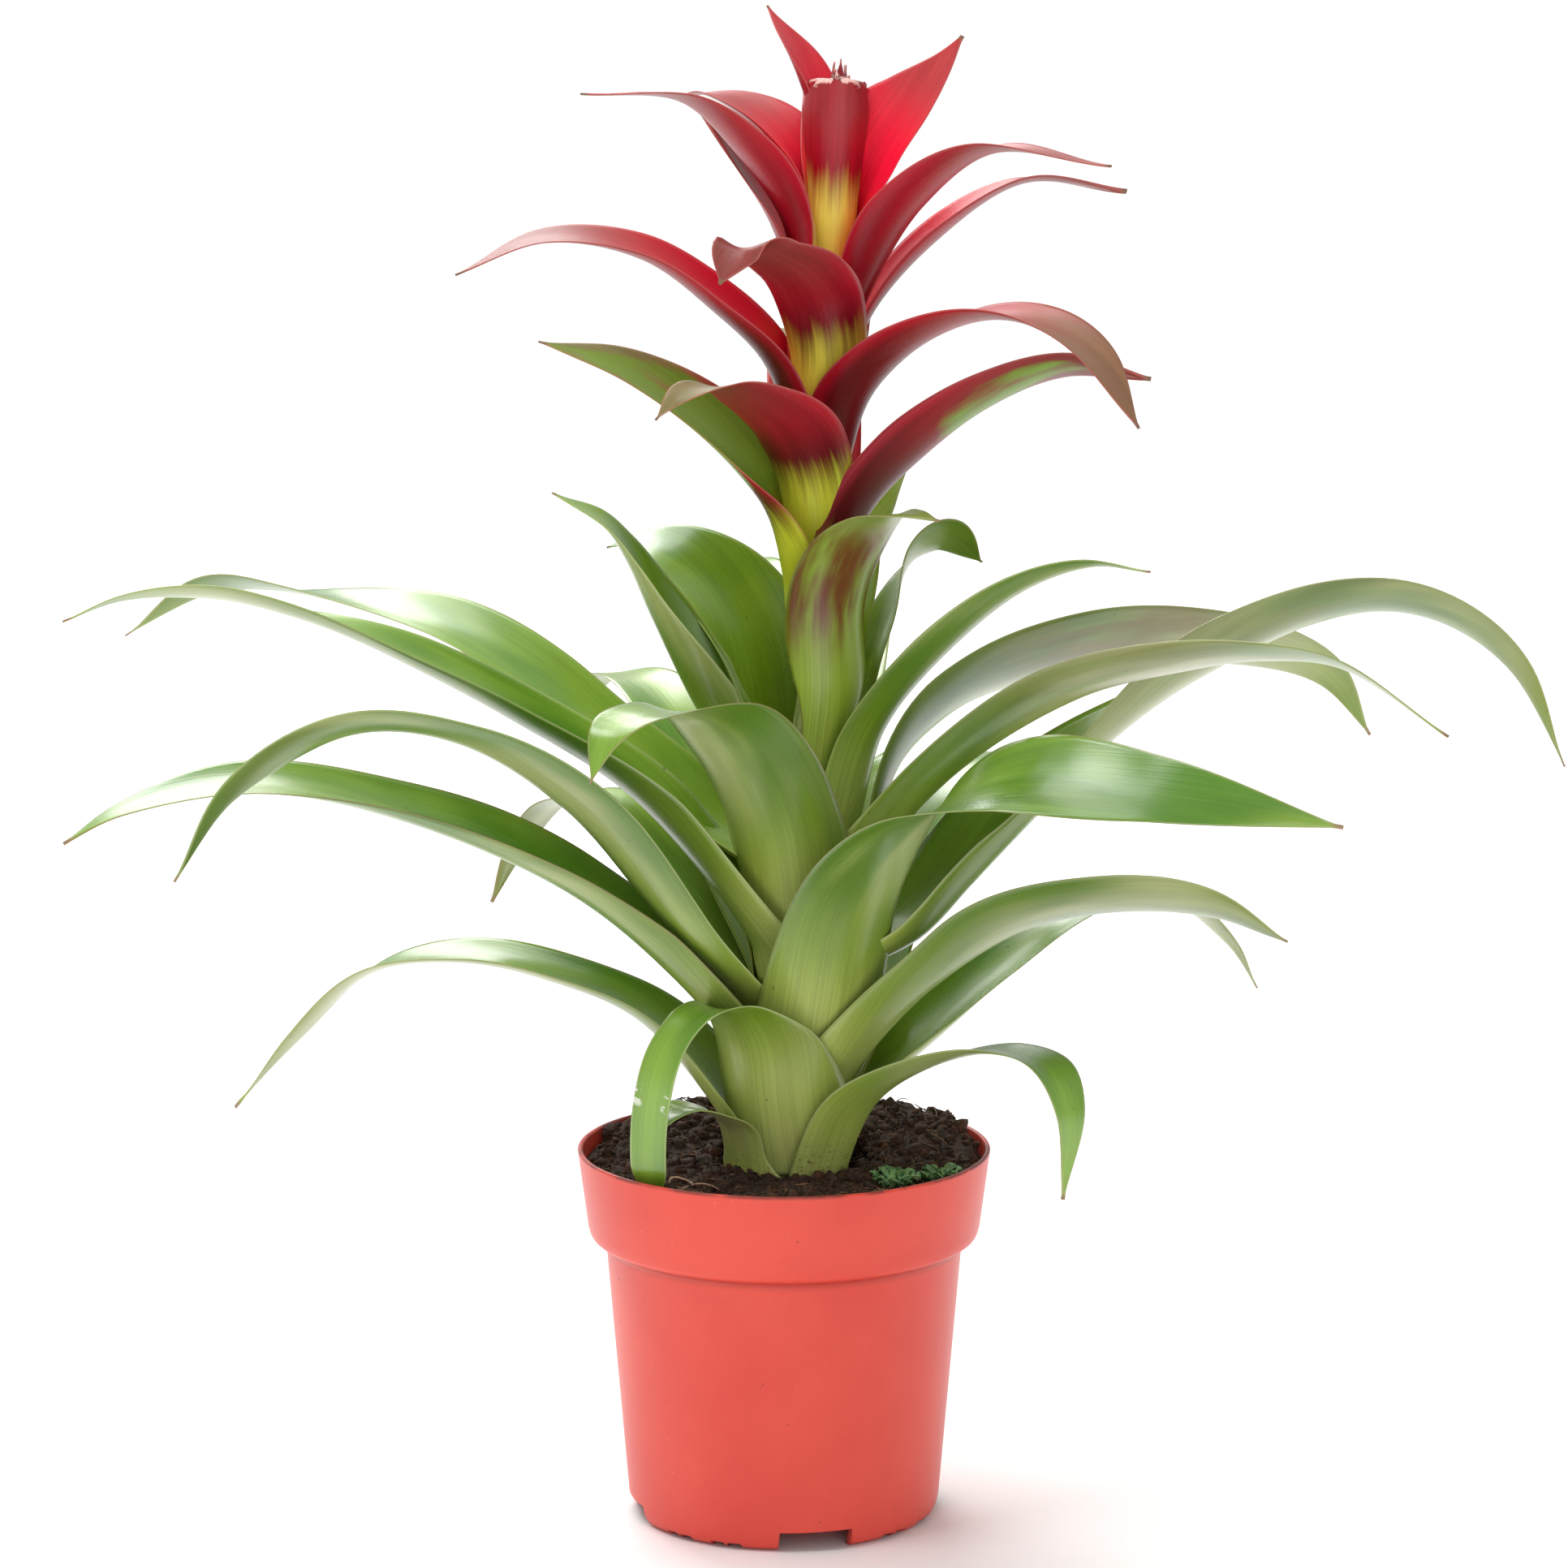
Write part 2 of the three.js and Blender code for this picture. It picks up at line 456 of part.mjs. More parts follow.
// The flower head's scales overlap in a spiral round its core, the later ones higher and steeper.
function headGeometry() {
  const height = HEAD_TOP - HEAD_FOOT;
  const profile = [[0, HEAD_FOOT], [HEAD_RADIUS - 0.6, HEAD_FOOT], [HEAD_RADIUS, HEAD_FOOT + height * 0.3],
    [HEAD_RADIUS - 0.8, HEAD_FOOT + height * 0.6], [0, HEAD_FOOT + height * 0.85]];
  let head = solidOf(bent(turned(profile, HEAD_SIDES)));
  for (let i = 0; i < HEAD_SCALES; i += 1) {
    const part = i / (HEAD_SCALES - 1);
    const foot = HEAD_FOOT + height * mix(0.06, 0.45, part);
    const tip = mix(HEAD_TOP - 8, HEAD_TOP, part);
    const reach = mix(HEAD_RADIUS + 2.6, 1.4, part);
    const way = [[HEAD_RADIUS - 0.9, foot], [HEAD_RADIUS + 0.5, mix(foot, tip, 0.4)],
      [reach, mix(foot, tip, 0.8)], [reach - 0.5, tip]];
    const rib = new THREE.CatmullRomCurve3(way.map(([x, y]) => new THREE.Vector3(x, y, 0)));
    const rows = placed(rib, i * SCALE_TURN_DEG, 1, HEAD_SCALE, SCALE_STEPS, SCALE_FOLDS);
    head = head.add(solidOf(sheetGeometry(rows, LEAF_THICKNESS)));
  }
  return geometryOf(head);
}

const potPlastic = new THREE.MeshStandardMaterial({ color: "#e05f50", roughness: 0.45, metalness: 0 });
const peat = new THREE.MeshStandardMaterial({ color: "#33231c", roughness: 1, metalness: 0 });
const greenBlade = new THREE.MeshStandardMaterial({ color: "#6f9a4a", roughness: 0.4, metalness: 0 });
const redBlade = new THREE.MeshStandardMaterial({ color: "#a3202f", roughness: 0.4, metalness: 0 });
const flowerScale = new THREE.MeshStandardMaterial({ color: "#b5414a", roughness: 0.5, metalness: 0 });
const stemSkin = new THREE.MeshStandardMaterial({ color: "#8ea055", roughness: 0.6, metalness: 0 });

const plant = new THREE.Group();

function add(name, geometry, material) {
  const mesh = new THREE.Mesh(geometry, material.clone());
  mesh.name = name;
  plant.add(mesh);
}

function addLeaves(prefix, table, form, steps, folds, firstNode, lastNode, material) {
  table.forEach(([azimuth, rise, way, change], i) => {
    const node = mix(firstNode, lastNode, i / (table.length - 1));
    const name = `${prefix}_${String(i + 1).padStart(2, "0")}`;
    add(name, leafGeometry(azimuth, node, rise, way, { ...form, ...change }, steps, folds), material);
  });
}

add("pot", potGeometry(), potPlastic);
add("soil", soilGeometry(), peat);
add("stem", stemGeometry(), stemSkin);
addLeaves("leaf", LEAVES, GREEN_LEAF, LEAF_STEPS, LEAF_FOLDS, FIRST_LEAF, LAST_LEAF, greenBlade);
add("flower_head", headGeometry(), flowerScale);
addLeaves("bract", BRACTS, RED_BRACT, BRACT_STEPS, BRACT_FOLDS, FIRST_BRACT, LAST_BRACT, redBlade);

export default plant;
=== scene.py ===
import bpy
import numpy as np
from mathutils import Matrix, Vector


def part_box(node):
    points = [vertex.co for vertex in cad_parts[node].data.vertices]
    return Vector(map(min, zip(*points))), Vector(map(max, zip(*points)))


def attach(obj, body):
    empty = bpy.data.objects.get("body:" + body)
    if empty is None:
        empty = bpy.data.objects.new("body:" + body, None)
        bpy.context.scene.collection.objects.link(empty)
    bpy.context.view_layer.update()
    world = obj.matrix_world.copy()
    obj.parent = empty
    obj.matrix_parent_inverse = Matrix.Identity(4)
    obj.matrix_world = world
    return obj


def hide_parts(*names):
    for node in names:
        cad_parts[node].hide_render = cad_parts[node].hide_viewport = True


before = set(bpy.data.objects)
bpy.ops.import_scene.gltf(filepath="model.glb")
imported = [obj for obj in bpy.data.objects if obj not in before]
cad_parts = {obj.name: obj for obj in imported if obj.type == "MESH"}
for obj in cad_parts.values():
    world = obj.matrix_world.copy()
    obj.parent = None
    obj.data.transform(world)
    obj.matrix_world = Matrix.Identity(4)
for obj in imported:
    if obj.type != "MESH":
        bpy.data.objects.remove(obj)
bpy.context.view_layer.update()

# Nursery pot: one thin moulding of coral-red plastic, a tapered body below a wider rim band.
# It stands on a foot ring with four arches and some low slots, and drains through holes in its
# raised floor. Plant and soil fill it, and nothing else holds them.
pot_low, pot_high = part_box("pot")
POT_HEIGHT = pot_high.z
RIM_RADIUS = (pot_high.x - pot_low.x) / 2
POT_WALL = 0.0017
BAND_FOOT = 0.082
BAND_RADIUS = 0.057
BODY_TOP_RADIUS = 0.0518
BODY_FOOT_RADIUS = 0.0453
SKIRT_RADIUS = 0.0415
FLOOR_LIFT = 0.008
STAND_RADIUS = 0.022
ARCH_TURN, ARCH_WIDTH, ARCH_HEIGHT = 282, 28, 0.006
SLOT_TURNS, SLOT_WIDTH, SLOT_HEIGHT = np.array([31, 38]), 6, 0.0018
DRAIN_COUNT, DRAIN_RADIUS, DRAIN_CIRCLE = 8, 0.0035, 0.034
POT_SIDES = 480


def mesh_piece(name, points, faces, slot, *nodes):
    """A smooth-shaded piece from arrays of points and faces, riding on the root and standing for nodes."""
    mesh = bpy.data.meshes.new(name)
    mesh.from_pydata(points.reshape(-1, 3), [], faces.tolist())
    mesh.polygons.foreach_set("use_smooth", np.ones(len(mesh.polygons), dtype=bool))
    mesh.update()
    piece = bpy.data.objects.new(name, mesh)
    bpy.context.scene.collection.objects.link(piece)
    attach(piece, "root")
    if nodes:
        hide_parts(*nodes)
    return piece


def grid_faces(rows, columns, closed=True):
    """Quads between neighbouring rows and columns of a grid of points; closed joins the last column on."""
    start = np.arange(rows - 1)[:, None] * columns
    here = np.arange(columns if closed else columns - 1)
    after = (here + 1) % columns
    quads = [start + here, start + after, start + columns + after, start + columns + here]
    return np.stack(quads, axis=-1).reshape(-1, 4)


def rounded(corners, bend, steps=5):
    """The path through corners, each cut short by bend and rounded with a parabola."""
    corners = np.array(corners)
    path = [corners[:1]]
    part = np.linspace(0, 1, steps)[:, None]
    for before, corner, after in zip(corners, corners[1:], corners[2:]):
        lead, leave = before - corner, after - corner
        start = corner + lead * min(0.45, bend / np.linalg.norm(lead))
        end = corner + leave * min(0.45, bend / np.linalg.norm(leave))
        path.append(start * (1 - part) ** 2 + 2 * corner * part * (1 - part) + end * part ** 2)
    return np.vstack([*path, corners[-1:]])


def foot_height(turn):
    """Height of the foot's edge at an angle: an arch's within its width, a slot's within its own, else 0."""
    quarter = 90
    from_arch = np.abs((turn - ARCH_TURN + quarter / 2) % quarter - quarter / 2)
    arch = from_arch < ARCH_WIDTH / 2
    slot = np.any(np.abs(from_arch[:, None] - SLOT_TURNS) < SLOT_WIDTH / 2, axis=1)
    return np.where(arch, ARCH_HEIGHT, np.where(slot, SLOT_HEIGHT, 0))


def pot_surface():
    """The pot's outline turned about Z, where the foot ring's two walls start at foot_height instead of 0."""
    inner_foot = [(SKIRT_RADIUS - POT_WALL, 0), (SKIRT_RADIUS + 0.0006 - POT_WALL, 0.0012),
                  (BODY_FOOT_RADIUS - POT_WALL, 0.0046), (BODY_FOOT_RADIUS - POT_WALL + 0.0002, FLOOR_LIFT)]
    outer_foot = [(SKIRT_RADIUS, 0), (SKIRT_RADIUS + 0.0023, 0.001), (BODY_FOOT_RADIUS - 0.0005, 0.0026),
                  (BODY_FOOT_RADIUS, 0.0046), (BODY_FOOT_RADIUS + 0.0003, FLOOR_LIFT)]
    floor_top = FLOOR_LIFT + POT_WALL
    under = [(0, 0), (STAND_RADIUS, 0), (STAND_RADIUS + 0.003, FLOOR_LIFT), inner_foot[-1]]
    above = [outer_foot[-1], (BODY_TOP_RADIUS, BAND_FOOT - 0.0016), (BODY_TOP_RADIUS + 0.001, BAND_FOOT - 0.0004),
             (BAND_RADIUS - 0.0024, BAND_FOOT + 0.0003), (BAND_RADIUS - 0.0007, BAND_FOOT + 0.0016),
             (BAND_RADIUS, BAND_FOOT + 0.004), (RIM_RADIUS, POT_HEIGHT), (RIM_RADIUS - 0.0016, POT_HEIGHT),
             (BAND_RADIUS - POT_WALL, BAND_FOOT + 0.004), (BAND_RADIUS - POT_WALL - 0.001, BAND_FOOT + 0.0022),
             (BODY_TOP_RADIUS - POT_WALL + 0.0006, BAND_FOOT + 0.0012), (BODY_TOP_RADIUS - POT_WALL, BAND_FOOT),
             (BODY_FOOT_RADIUS - POT_WALL + 0.0004, floor_top), (STAND_RADIUS + 0.0038, floor_top),
             (STAND_RADIUS + 0.0008, POT_WALL), (0, POT_WALL)]
    turn = np.arange(POT_SIDES) * 360 / POT_SIDES
    foot = foot_height(turn)
    down, up = np.linspace(1, 0, 9)[1:], np.linspace(0, 1, 9)[:-1]
    rise = np.concatenate([down, up])[:, None]
    foot_z = foot + rise * (FLOOR_LIFT - foot)
    walls = [np.interp(part, *np.array(wall).T[::-1])
             for part, wall in zip(np.split(foot_z, 2), (inner_foot, outer_foot))]
    under, above = rounded(under, 0.0006), rounded(above, 0.0008)
    radius = np.vstack([np.tile(under[:, :1], POT_SIDES), *walls, np.tile(above[:, :1], POT_SIDES)])
    height = np.vstack([np.tile(under[:, 1:], POT_SIDES), foot_z, np.tile(above[:, 1:], POT_SIDES)])
    angle = np.radians(turn)
    return np.stack([radius * np.cos(angle), radius * np.sin(angle), height], axis=-1)


def capped(points):
    """Points and faces of a turned surface whose first and last rows are each one point on the axis."""
    rows, columns = points.shape[:2]
    flat = np.vstack([points[0, :1], points[1:-1].reshape(-1, 3), points[-1, :1]])
    ring = np.arange(columns)
    last = len(flat) - 1
    start = [np.zeros(columns, dtype=int), 1 + (ring + 1) % columns, 1 + ring]
    top = last - columns
    end = [np.full(columns, last), top + ring, top + (ring + 1) % columns]
    fans = np.stack([np.concatenate(pair) for pair in zip(start, end)], axis=-1)
    return flat, (grid_faces(rows - 2, columns) + 1).tolist() + fans.tolist()


class FaceList(list):
    """A list of faces of mixed size that mesh_piece takes as it takes an array."""

    def tolist(self):
        return list(self)


def drain_cutter():
    """Eight upright rods as one mesh, where the floor has its holes."""
    sides = 24
    angle = np.arange(sides) / sides * 2 * np.pi
    middle = (np.arange(DRAIN_COUNT) + 0.5) / DRAIN_COUNT * 2 * np.pi
    x = DRAIN_CIRCLE * np.cos(middle)[:, None] + DRAIN_RADIUS * np.cos(angle)
    y = DRAIN_CIRCLE * np.sin(middle)[:, None] + DRAIN_RADIUS * np.sin(angle)
    rings = [np.stack([x, y, np.full_like(x, z)], axis=-1) for z in (FLOOR_LIFT - 0.003, FLOOR_LIFT + 0.005)]
    points = np.stack(rings, axis=1)
    faces = []
    for rod in range(DRAIN_COUNT):
        start = rod * 2 * sides
        faces += (grid_faces(2, sides) + start).tolist()
        faces.append(list(range(start + sides - 1, start - 1, -1)))
        faces.append(list(range(start + sides, start + 2 * sides)))
    mesh = bpy.data.meshes.new("drain_cutter")
    mesh.from_pydata(points.reshape(-1, 3), [], faces)
    return bpy.data.objects.new("drain_cutter", mesh)


pot_points, pot_faces = capped(pot_surface())
pot = mesh_piece("nursery_pot", pot_points, FaceList(pot_faces), "pot", "pot")
cutter = drain_cutter()
bpy.context.scene.collection.objects.link(cutter)
drill = pot.modifiers.new("drain holes", "BOOLEAN")
drill.operation = "DIFFERENCE"
drill.solver = "EXACT"
drill.object = cutter
bpy.context.view_layer.objects.active = pot
with bpy.context.temp_override(object=pot):
    bpy.ops.object.modifier_apply(modifier=drill.name)
bpy.data.objects.remove(cutter)


class Paint:
    """A shader socket. Sums and products of it add Math nodes, and node() adds any other node."""

    def __init__(self, tree, socket=None):
        self.tree = tree
        self.socket = socket

    def node(self, kind, settings=None, inputs=None, output=0):
        """Adds a node: its settings first, then each input by name or place, a value or a Paint."""
        made = self.tree.nodes.new(kind)
        for name, setting in (settings or {}).items():
            setattr(made, name, setting)
        for key, entry in (inputs or {}).items():
            socket = made.inputs[key]
            if isinstance(entry, Paint):
                self.tree.links.new(entry.socket, socket)
            elif isinstance(entry, tuple) and len(entry) == 3 and socket.type == "RGBA":
                socket.default_value = (*entry, 1)
            else:
                socket.default_value = entry
        return Paint(self.tree, made.outputs[output])

    def maths(self, operation, *values):
        return self.node("ShaderNodeMath", {"operation": operation}, dict(enumerate(values)))

    def __add__(self, other):
        return self.maths("ADD", self, other)

    def __sub__(self, other):
        return self.maths("SUBTRACT", self, other)

    def __rsub__(self, other):
        return self.maths("SUBTRACT", other, self)

    def __mul__(self, other):
        return self.maths("MULTIPLY", self, other)

    __radd__ = __add__
    __rmul__ = __mul__

    def smooth(self, low, high):
        """0 at low and 1 at high, eased at both ends; low may be the larger."""
        settings = {"interpolation_type": "SMOOTHSTEP", "clamp": True}
        return self.node("ShaderNodeMapRange", settings, {"Value": self, "From Min": low, "From Max": high})

    def blend(self, first, second):
        """The first colour where this value is 0 and the second where it is 1."""
        settings = {"data_type": "RGBA", "clamp_factor": True}
        return self.node("ShaderNodeMix", settings, {0: self, 6: first, 7: second}, output=2)

    def shaded(self, factor):
        """This colour made darker or lighter by a factor."""
        even = self.node("ShaderNodeCombineXYZ", {}, {"X": factor, "Y": factor, "Z": factor})
        return self.node("ShaderNodeVectorMath", {"operation": "MULTIPLY"}, {0: self, 1: even})

    def stretched(self, x, y, z):
        """This place with each axis scaled, so that a noise on it is drawn out."""
        return self.node("ShaderNodeVectorMath", {"operation": "MULTIPLY"}, {0: self, 1: (x, y, z)})

    def noise(self, scale, detail=2.0, roughness=0.5):
        inputs = {"Vector": self, "Scale": scale, "Detail": detail, "Roughness": roughness}
        return self.node("ShaderNodeTexNoise", {}, inputs)


def tint(red, green, blue):
    """Linear colour from the 0 to 255 values that a colour picker shows."""
    part = np.array([red, green, blue]) / 255
    return tuple(np.where(part <= 0.04045, part / 12.92, ((part + 0.055) / 1.055) ** 2.4).tolist())


def new_material(name):
    """A material with a Principled shader, and a Paint to build its pattern with."""
    material = bpy.data.materials.new(name)
    material.use_nodes = True
    return material, Paint(material.node_tree)


def finish_material(material, colour, roughness, bump, depth, **constants):
    """Links a pattern to the material's shader; constants are set on its other sockets."""
    shader = material.node_tree.nodes["Principled BSDF"]
    links = material.node_tree.links
    links.new(colour.socket, shader.inputs["Base Color"])
    if isinstance(roughness, Paint):
        links.new(roughness.socket, shader.inputs["Roughness"])
    else:
        shader.inputs["Roughness"].default_value = roughness
    if bump is not None:
        raised = bump.node("ShaderNodeBump", {}, {"Height": bump, "Distance": depth, "Strength": 1.0}, "Normal")
        links.new(raised.socket, shader.inputs["Normal"])
    for name, value in constants.items():
        shader.inputs[name.replace("_", " ")].default_value = value


def pot_material():
    """Coral plastic: faintly cloudy, with a few pale and dark specks, a mottled dark line on the top edge and a
    painted shade line in the groove under the band.
    """
    material, paint = new_material("coral_pot_plastic")
    place = paint.node("ShaderNodeTexCoord", output="Object")
    height = place.node("ShaderNodeSeparateXYZ", {}, {"Vector": place}, "Z")
    cloud = place.noise(22, 3)
    colour = cloud.smooth(0.3, 0.7).blend(tint(214, 66, 52), tint(224, 76, 60))
    dust = place.noise(900, 2).smooth(0.68, 0.74) * place.noise(60, 1).smooth(0.5, 0.65)
    colour = (dust * 0.2).blend(colour, tint(240, 160, 148))
    dirt = place.noise(520, 1).smooth(0.75, 0.79) * place.noise(35, 1).smooth(0.5, 0.62)
    colour = (dirt * 0.7).blend(colour, tint(92, 40, 34))
    # A mottled dark line along the top edge of the rim.
    rim_line_mottle = place.noise(90, 3).smooth(0.35, 0.6)
    edge = height.smooth(POT_HEIGHT - 0.0012, POT_HEIGHT - 0.0002)
    colour = (rim_line_mottle * edge * 0.75).blend(colour, tint(84, 34, 28))
    # Painted shade: a darker line in the groove under the band, where the body meets the band's underside.
    painted_groove_shade = height.smooth(BAND_FOOT - 0.0035, BAND_FOOT - 0.0005) * height.smooth(BAND_FOOT + 0.0012, BAND_FOOT)
    colour = (painted_groove_shade * (cloud * 0.3 + 0.35)).blend(colour, tint(132, 34, 28))
    grain = place.noise(1400, 2) * 0.6 + place.noise(120, 2) * 0.4
    roughness = cloud * 0.10 + 0.36
    finish_material(material, colour, roughness, grain, 0.00005, Specular_IOR_Level=0.4,
                    Coat_Weight=0.1, Coat_Roughness=0.3)
    return material


pot.data.materials.clear()
pot.data.materials.append(pot_material())

# Peat: dark, moist, crumbly compost that fills the pot to just below its rim and is heaped behind
# the plant. The plant's foot stands in a hole in it. Loose crumbs, dry fibres, a pale root and two
# tufts of moss lie on top.
chance = np.random.default_rng(4301)
SOIL_LEVEL = 0.1036
SOIL_HOLE = 0.0235
SOIL_EDGE = RIM_RADIUS - 0.0015 - (POT_HEIGHT - SOIL_LEVEL) * 0.14 - 0.0004
SOIL_HEAP, HEAP_FROM, HEAP_TO = 0.0065, -0.008, 0.032
LEAN, LEAN_FROM = 0.04, 0.035


def smooth(value, low, high):
    """0 at low and 1 at high, eased at both ends."""
    part = np.clip((value - low) / (high - low), 0, 1)
    return part * part * (3 - 2 * part)


def soil_height(x, y):
    """The peat's level: a heap at the back, and a few long waves."""
    heap = SOIL_HEAP * smooth(y + 0.2 * x, HEAP_FROM, HEAP_TO)
    waves = 0.0007 * np.sin(x * 190 + 1.1) * np.cos(y * 160 - 0.4) + 0.0005 * np.sin(x * 410 - y * 330)
    return SOIL_LEVEL + heap + waves


def rough(x, y):
    """Crumbly relief: waves of falling size along directions that are drawn at random, folded at zero."""
    relief = np.zeros_like(x)
    for octave in range(5):
        wave = 420 * 1.9 ** octave
        for _ in range(3):
            turn, phase = chance.uniform(0, 2 * np.pi, 2)
            relief += np.abs(np.sin(wave * (x * np.cos(turn) + y * np.sin(turn)) + phase)) / 1.75 ** octave
    return relief / 5


def soil_surface():
    """The peat's outline turned about Z; its top follows soil_height and rough, and the hole leans with the plant."""
    angle = np.arange(300) / 300 * 2 * np.pi
    below = rounded([(0, 0.0597), (0.0128, 0.0597), (0.0172, 0.083), (SOIL_HOLE, SOIL_LEVEL - 0.002)], 0.001)
    top = np.stack([np.linspace(SOIL_HOLE, SOIL_EDGE, 70), np.full(70, SOIL_LEVEL)], axis=1)
    outside = rounded([(SOIL_EDGE, SOIL_LEVEL - 0.001), (0.05495, 0.0863), (0.0539, 0.0847), (0.0501, 0.0837),
                       (0.0497, 0.0816), (0.0437, 0.010), (0.0254, 0.010), (0.0224, 0.002), (0, 0.002)], 0.001)
    outline = np.vstack([below, top, outside])
    radius = np.repeat(outline[:, :1], 300, axis=1)
    height = np.repeat(outline[:, 1:], 300, axis=1)
    x, y = radius * np.cos(angle), radius * np.sin(angle)
    on_top = (np.arange(len(outline)) >= len(below)) & (np.arange(len(outline)) < len(below) + 70)
    edge = 1 - smooth(radius, SOIL_EDGE - 0.003, SOIL_EDGE)
    relief = (soil_height(x, y) - SOIL_LEVEL) * edge + 0.0018 * (rough(x, y) - 0.5)
    height = height + np.where(on_top[:, None], relief, 0)
    moved = np.where(height > 0.059, 1 - smooth(radius, SOIL_HOLE + 0.001, 0.045), 0)
    x = x + moved * LEAN * (height - LEAN_FROM)
    return np.stack([x, y, height], axis=-1)


def scattered(count, inner, outer):
    """Random places on the peat between two radii, as rows of x, y and the peat's height there."""
    radius = np.sqrt(chance.uniform(inner ** 2, outer ** 2, count))
    angle = chance.uniform(0, 2 * np.pi, count)
    x, y = radius * np.cos(angle), radius * np.sin(angle)
    sunk = 0.5 * (soil_height(x, y) - SOIL_LEVEL) * smooth(radius, SOIL_EDGE - 0.003, SOIL_EDGE)
    return np.stack([x, y, soil_height(x, y) - sunk], axis=-1)


def turned_any_way(count):
    """Random rotation matrices, from random unit quaternions."""
    spin = chance.normal(size=(4, count))
    w, x, y, z = spin / np.linalg.norm(spin, axis=0)
    rows = [[1 - 2 * (y * y + z * z), 2 * (x * y - z * w), 2 * (x * z + y * w)],
            [2 * (x * y + z * w), 1 - 2 * (x * x + z * z), 2 * (y * z - x * w)],
            [2 * (x * z - y * w), 2 * (y * z + x * w), 1 - 2 * (x * x + y * y)]]
    return np.moveaxis(np.array(rows), 2, 0)


def lumps(places, sizes):
    """Rough little balls: a ball's points pushed in and out at random, flattened, turned and put in place."""
    rows, columns = 5, 7
    tilt = np.linspace(0, np.pi, rows)[1:-1]
    around = np.arange(columns) / columns * 2 * np.pi
    ring = np.stack([np.outer(np.sin(tilt), np.cos(around)), np.outer(np.sin(tilt), np.sin(around)),
                     np.repeat(np.cos(tilt)[:, None], columns, axis=1)], axis=-1).reshape(-1, 3)
    ball = np.vstack([[0, 0, 1], ring, [0, 0, -1]])
    count = len(places)
    pushed = ball * chance.uniform(0.55, 1.25, (count, len(ball), 1))
    pushed = pushed * (chance.uniform(0.5, 1.0, (count, 1, 3)) * sizes[:, None, None])
    points = np.einsum("nij,nkj->nki", turned_any_way(count), pushed) + places[:, None, :]
    _, faces = capped(np.zeros((rows, columns, 3)))
    quads, fans = np.array(faces[:(rows - 3) * columns]), np.array(faces[(rows - 3) * columns:])
    start = np.arange(count)[:, None, None] * len(ball)
    all_faces = FaceList((quads + start).reshape(-1, 4).tolist() + (fans + start).reshape(-1, 3).tolist())
    return points, all_faces


def strands(paths, thickness):
    """Thin three-sided tubes along many paths at once, given as strand, step and place."""
    along = np.gradient(paths, axis=1)
    along /= np.linalg.norm(along, axis=2, keepdims=True)
    side = np.cross(along, [0.31, 0.27, 0.91])
    side /= np.linalg.norm(side, axis=2, keepdims=True)
    other = np.cross(along, side)
    turn = np.arange(3) / 3 * 2 * np.pi
    ring = side[:, :, None] * np.cos(turn)[:, None] + other[:, :, None] * np.sin(turn)[:, None]
    narrowed = np.sin(np.linspace(0.15, 0.95, paths.shape[1]) * np.pi)[None, :, None, None]
    points = paths[:, :, None] + ring * narrowed * thickness[:, None, None, None] / 2
    steps = paths.shape[1]
    tube = grid_faces(steps, 3)
    start = np.arange(len(paths))[:, None, None] * steps * 3
    sides = (tube + start).reshape(-1, 4).tolist()
    ends = np.array([[2, 1, 0], [steps * 3 - 3, steps * 3 - 2, steps * 3 - 1]])
    return points, FaceList(sides + (ends + start).reshape(-1, 3).tolist())


def fibre_paths(places, lengths, steps=7):
    """Bent lines that start at places and wander level along the peat, a little up and down."""
    count = len(places)
    heading = chance.uniform(0, 2 * np.pi, count)[:, None]
    heading = heading + np.cumsum(chance.normal(0, 0.45, (count, steps)), axis=1)
    step = lengths[:, None] / steps
    x = places[:, :1] + np.cumsum(step * np.cos(heading), axis=1)
    y = places[:, 1:2] + np.cumsum(step * np.sin(heading), axis=1)
    reach = np.hypot(x, y)
    held = np.minimum(1, (SOIL_EDGE - 0.0015) / reach)
    x, y = x * held, y * held
    z = soil_height(x, y) + 0.0006 + chance.uniform(0, 0.0012, (count, 1)) * np.sin(np.linspace(0, np.pi, steps))
    return np.stack([x, y, z], axis=-1)


def peat_material():
    """Dark brown peat with blacker and redder grains."""
    material, paint = new_material("moist_peat")
    place = paint.node("ShaderNodeTexCoord", output="Object")
    grain = place.noise(700, 4, 0.7)
    colour = grain.smooth(0.35, 0.65).blend(tint(30, 19, 15), tint(78, 54, 42))
    reddish = place.noise(160, 2).smooth(0.55, 0.7)
    colour = (reddish * 0.6).blend(colour, tint(96, 58, 40))
    pale = place.noise(1100, 1).smooth(0.68, 0.74)
    colour = (pale * 0.5).blend(colour, tint(140, 112, 88))
    finish_material(material, colour, grain * 0.3 + 0.65, grain, 0.0004, Specular_IOR_Level=0.3)
    return material


peat = peat_material()
soil_points, soil_faces = capped(soil_surface())
soil = mesh_piece("peat", soil_points, FaceList(soil_faces), "soil", "soil")
soil.data.materials.append(peat)

CRUMBS, FIBRES = 3600, 520
crumb_places = scattered(CRUMBS, SOIL_HOLE - 0.004, SOIL_EDGE - 0.0012)
crumb_sizes = chance.gamma(2.4, 0.00045, CRUMBS).clip(0.0004, 0.0034)
crumb_places[:, 0] += 0.0027 * (1 - smooth(np.hypot(crumb_places[:, 0], crumb_places[:, 1]), SOIL_HOLE, 0.045))
crumb_places[:, 2] += crumb_sizes * 0.25
crumbs = mesh_piece("peat_crumbs", *lumps(crumb_places, crumb_sizes), "soil")
crumbs.data.materials.append(peat)

fibre_starts = scattered(FIBRES, SOIL_HOLE, SOIL_EDGE - 0.003)
fibre_lines = fibre_paths(fibre_starts, chance.uniform(0.004, 0.016, FIBRES))
fibres = mesh_piece("peat_fibres", *strands(fibre_lines, chance.uniform(0.00015, 0.0005, FIBRES)), "soil")


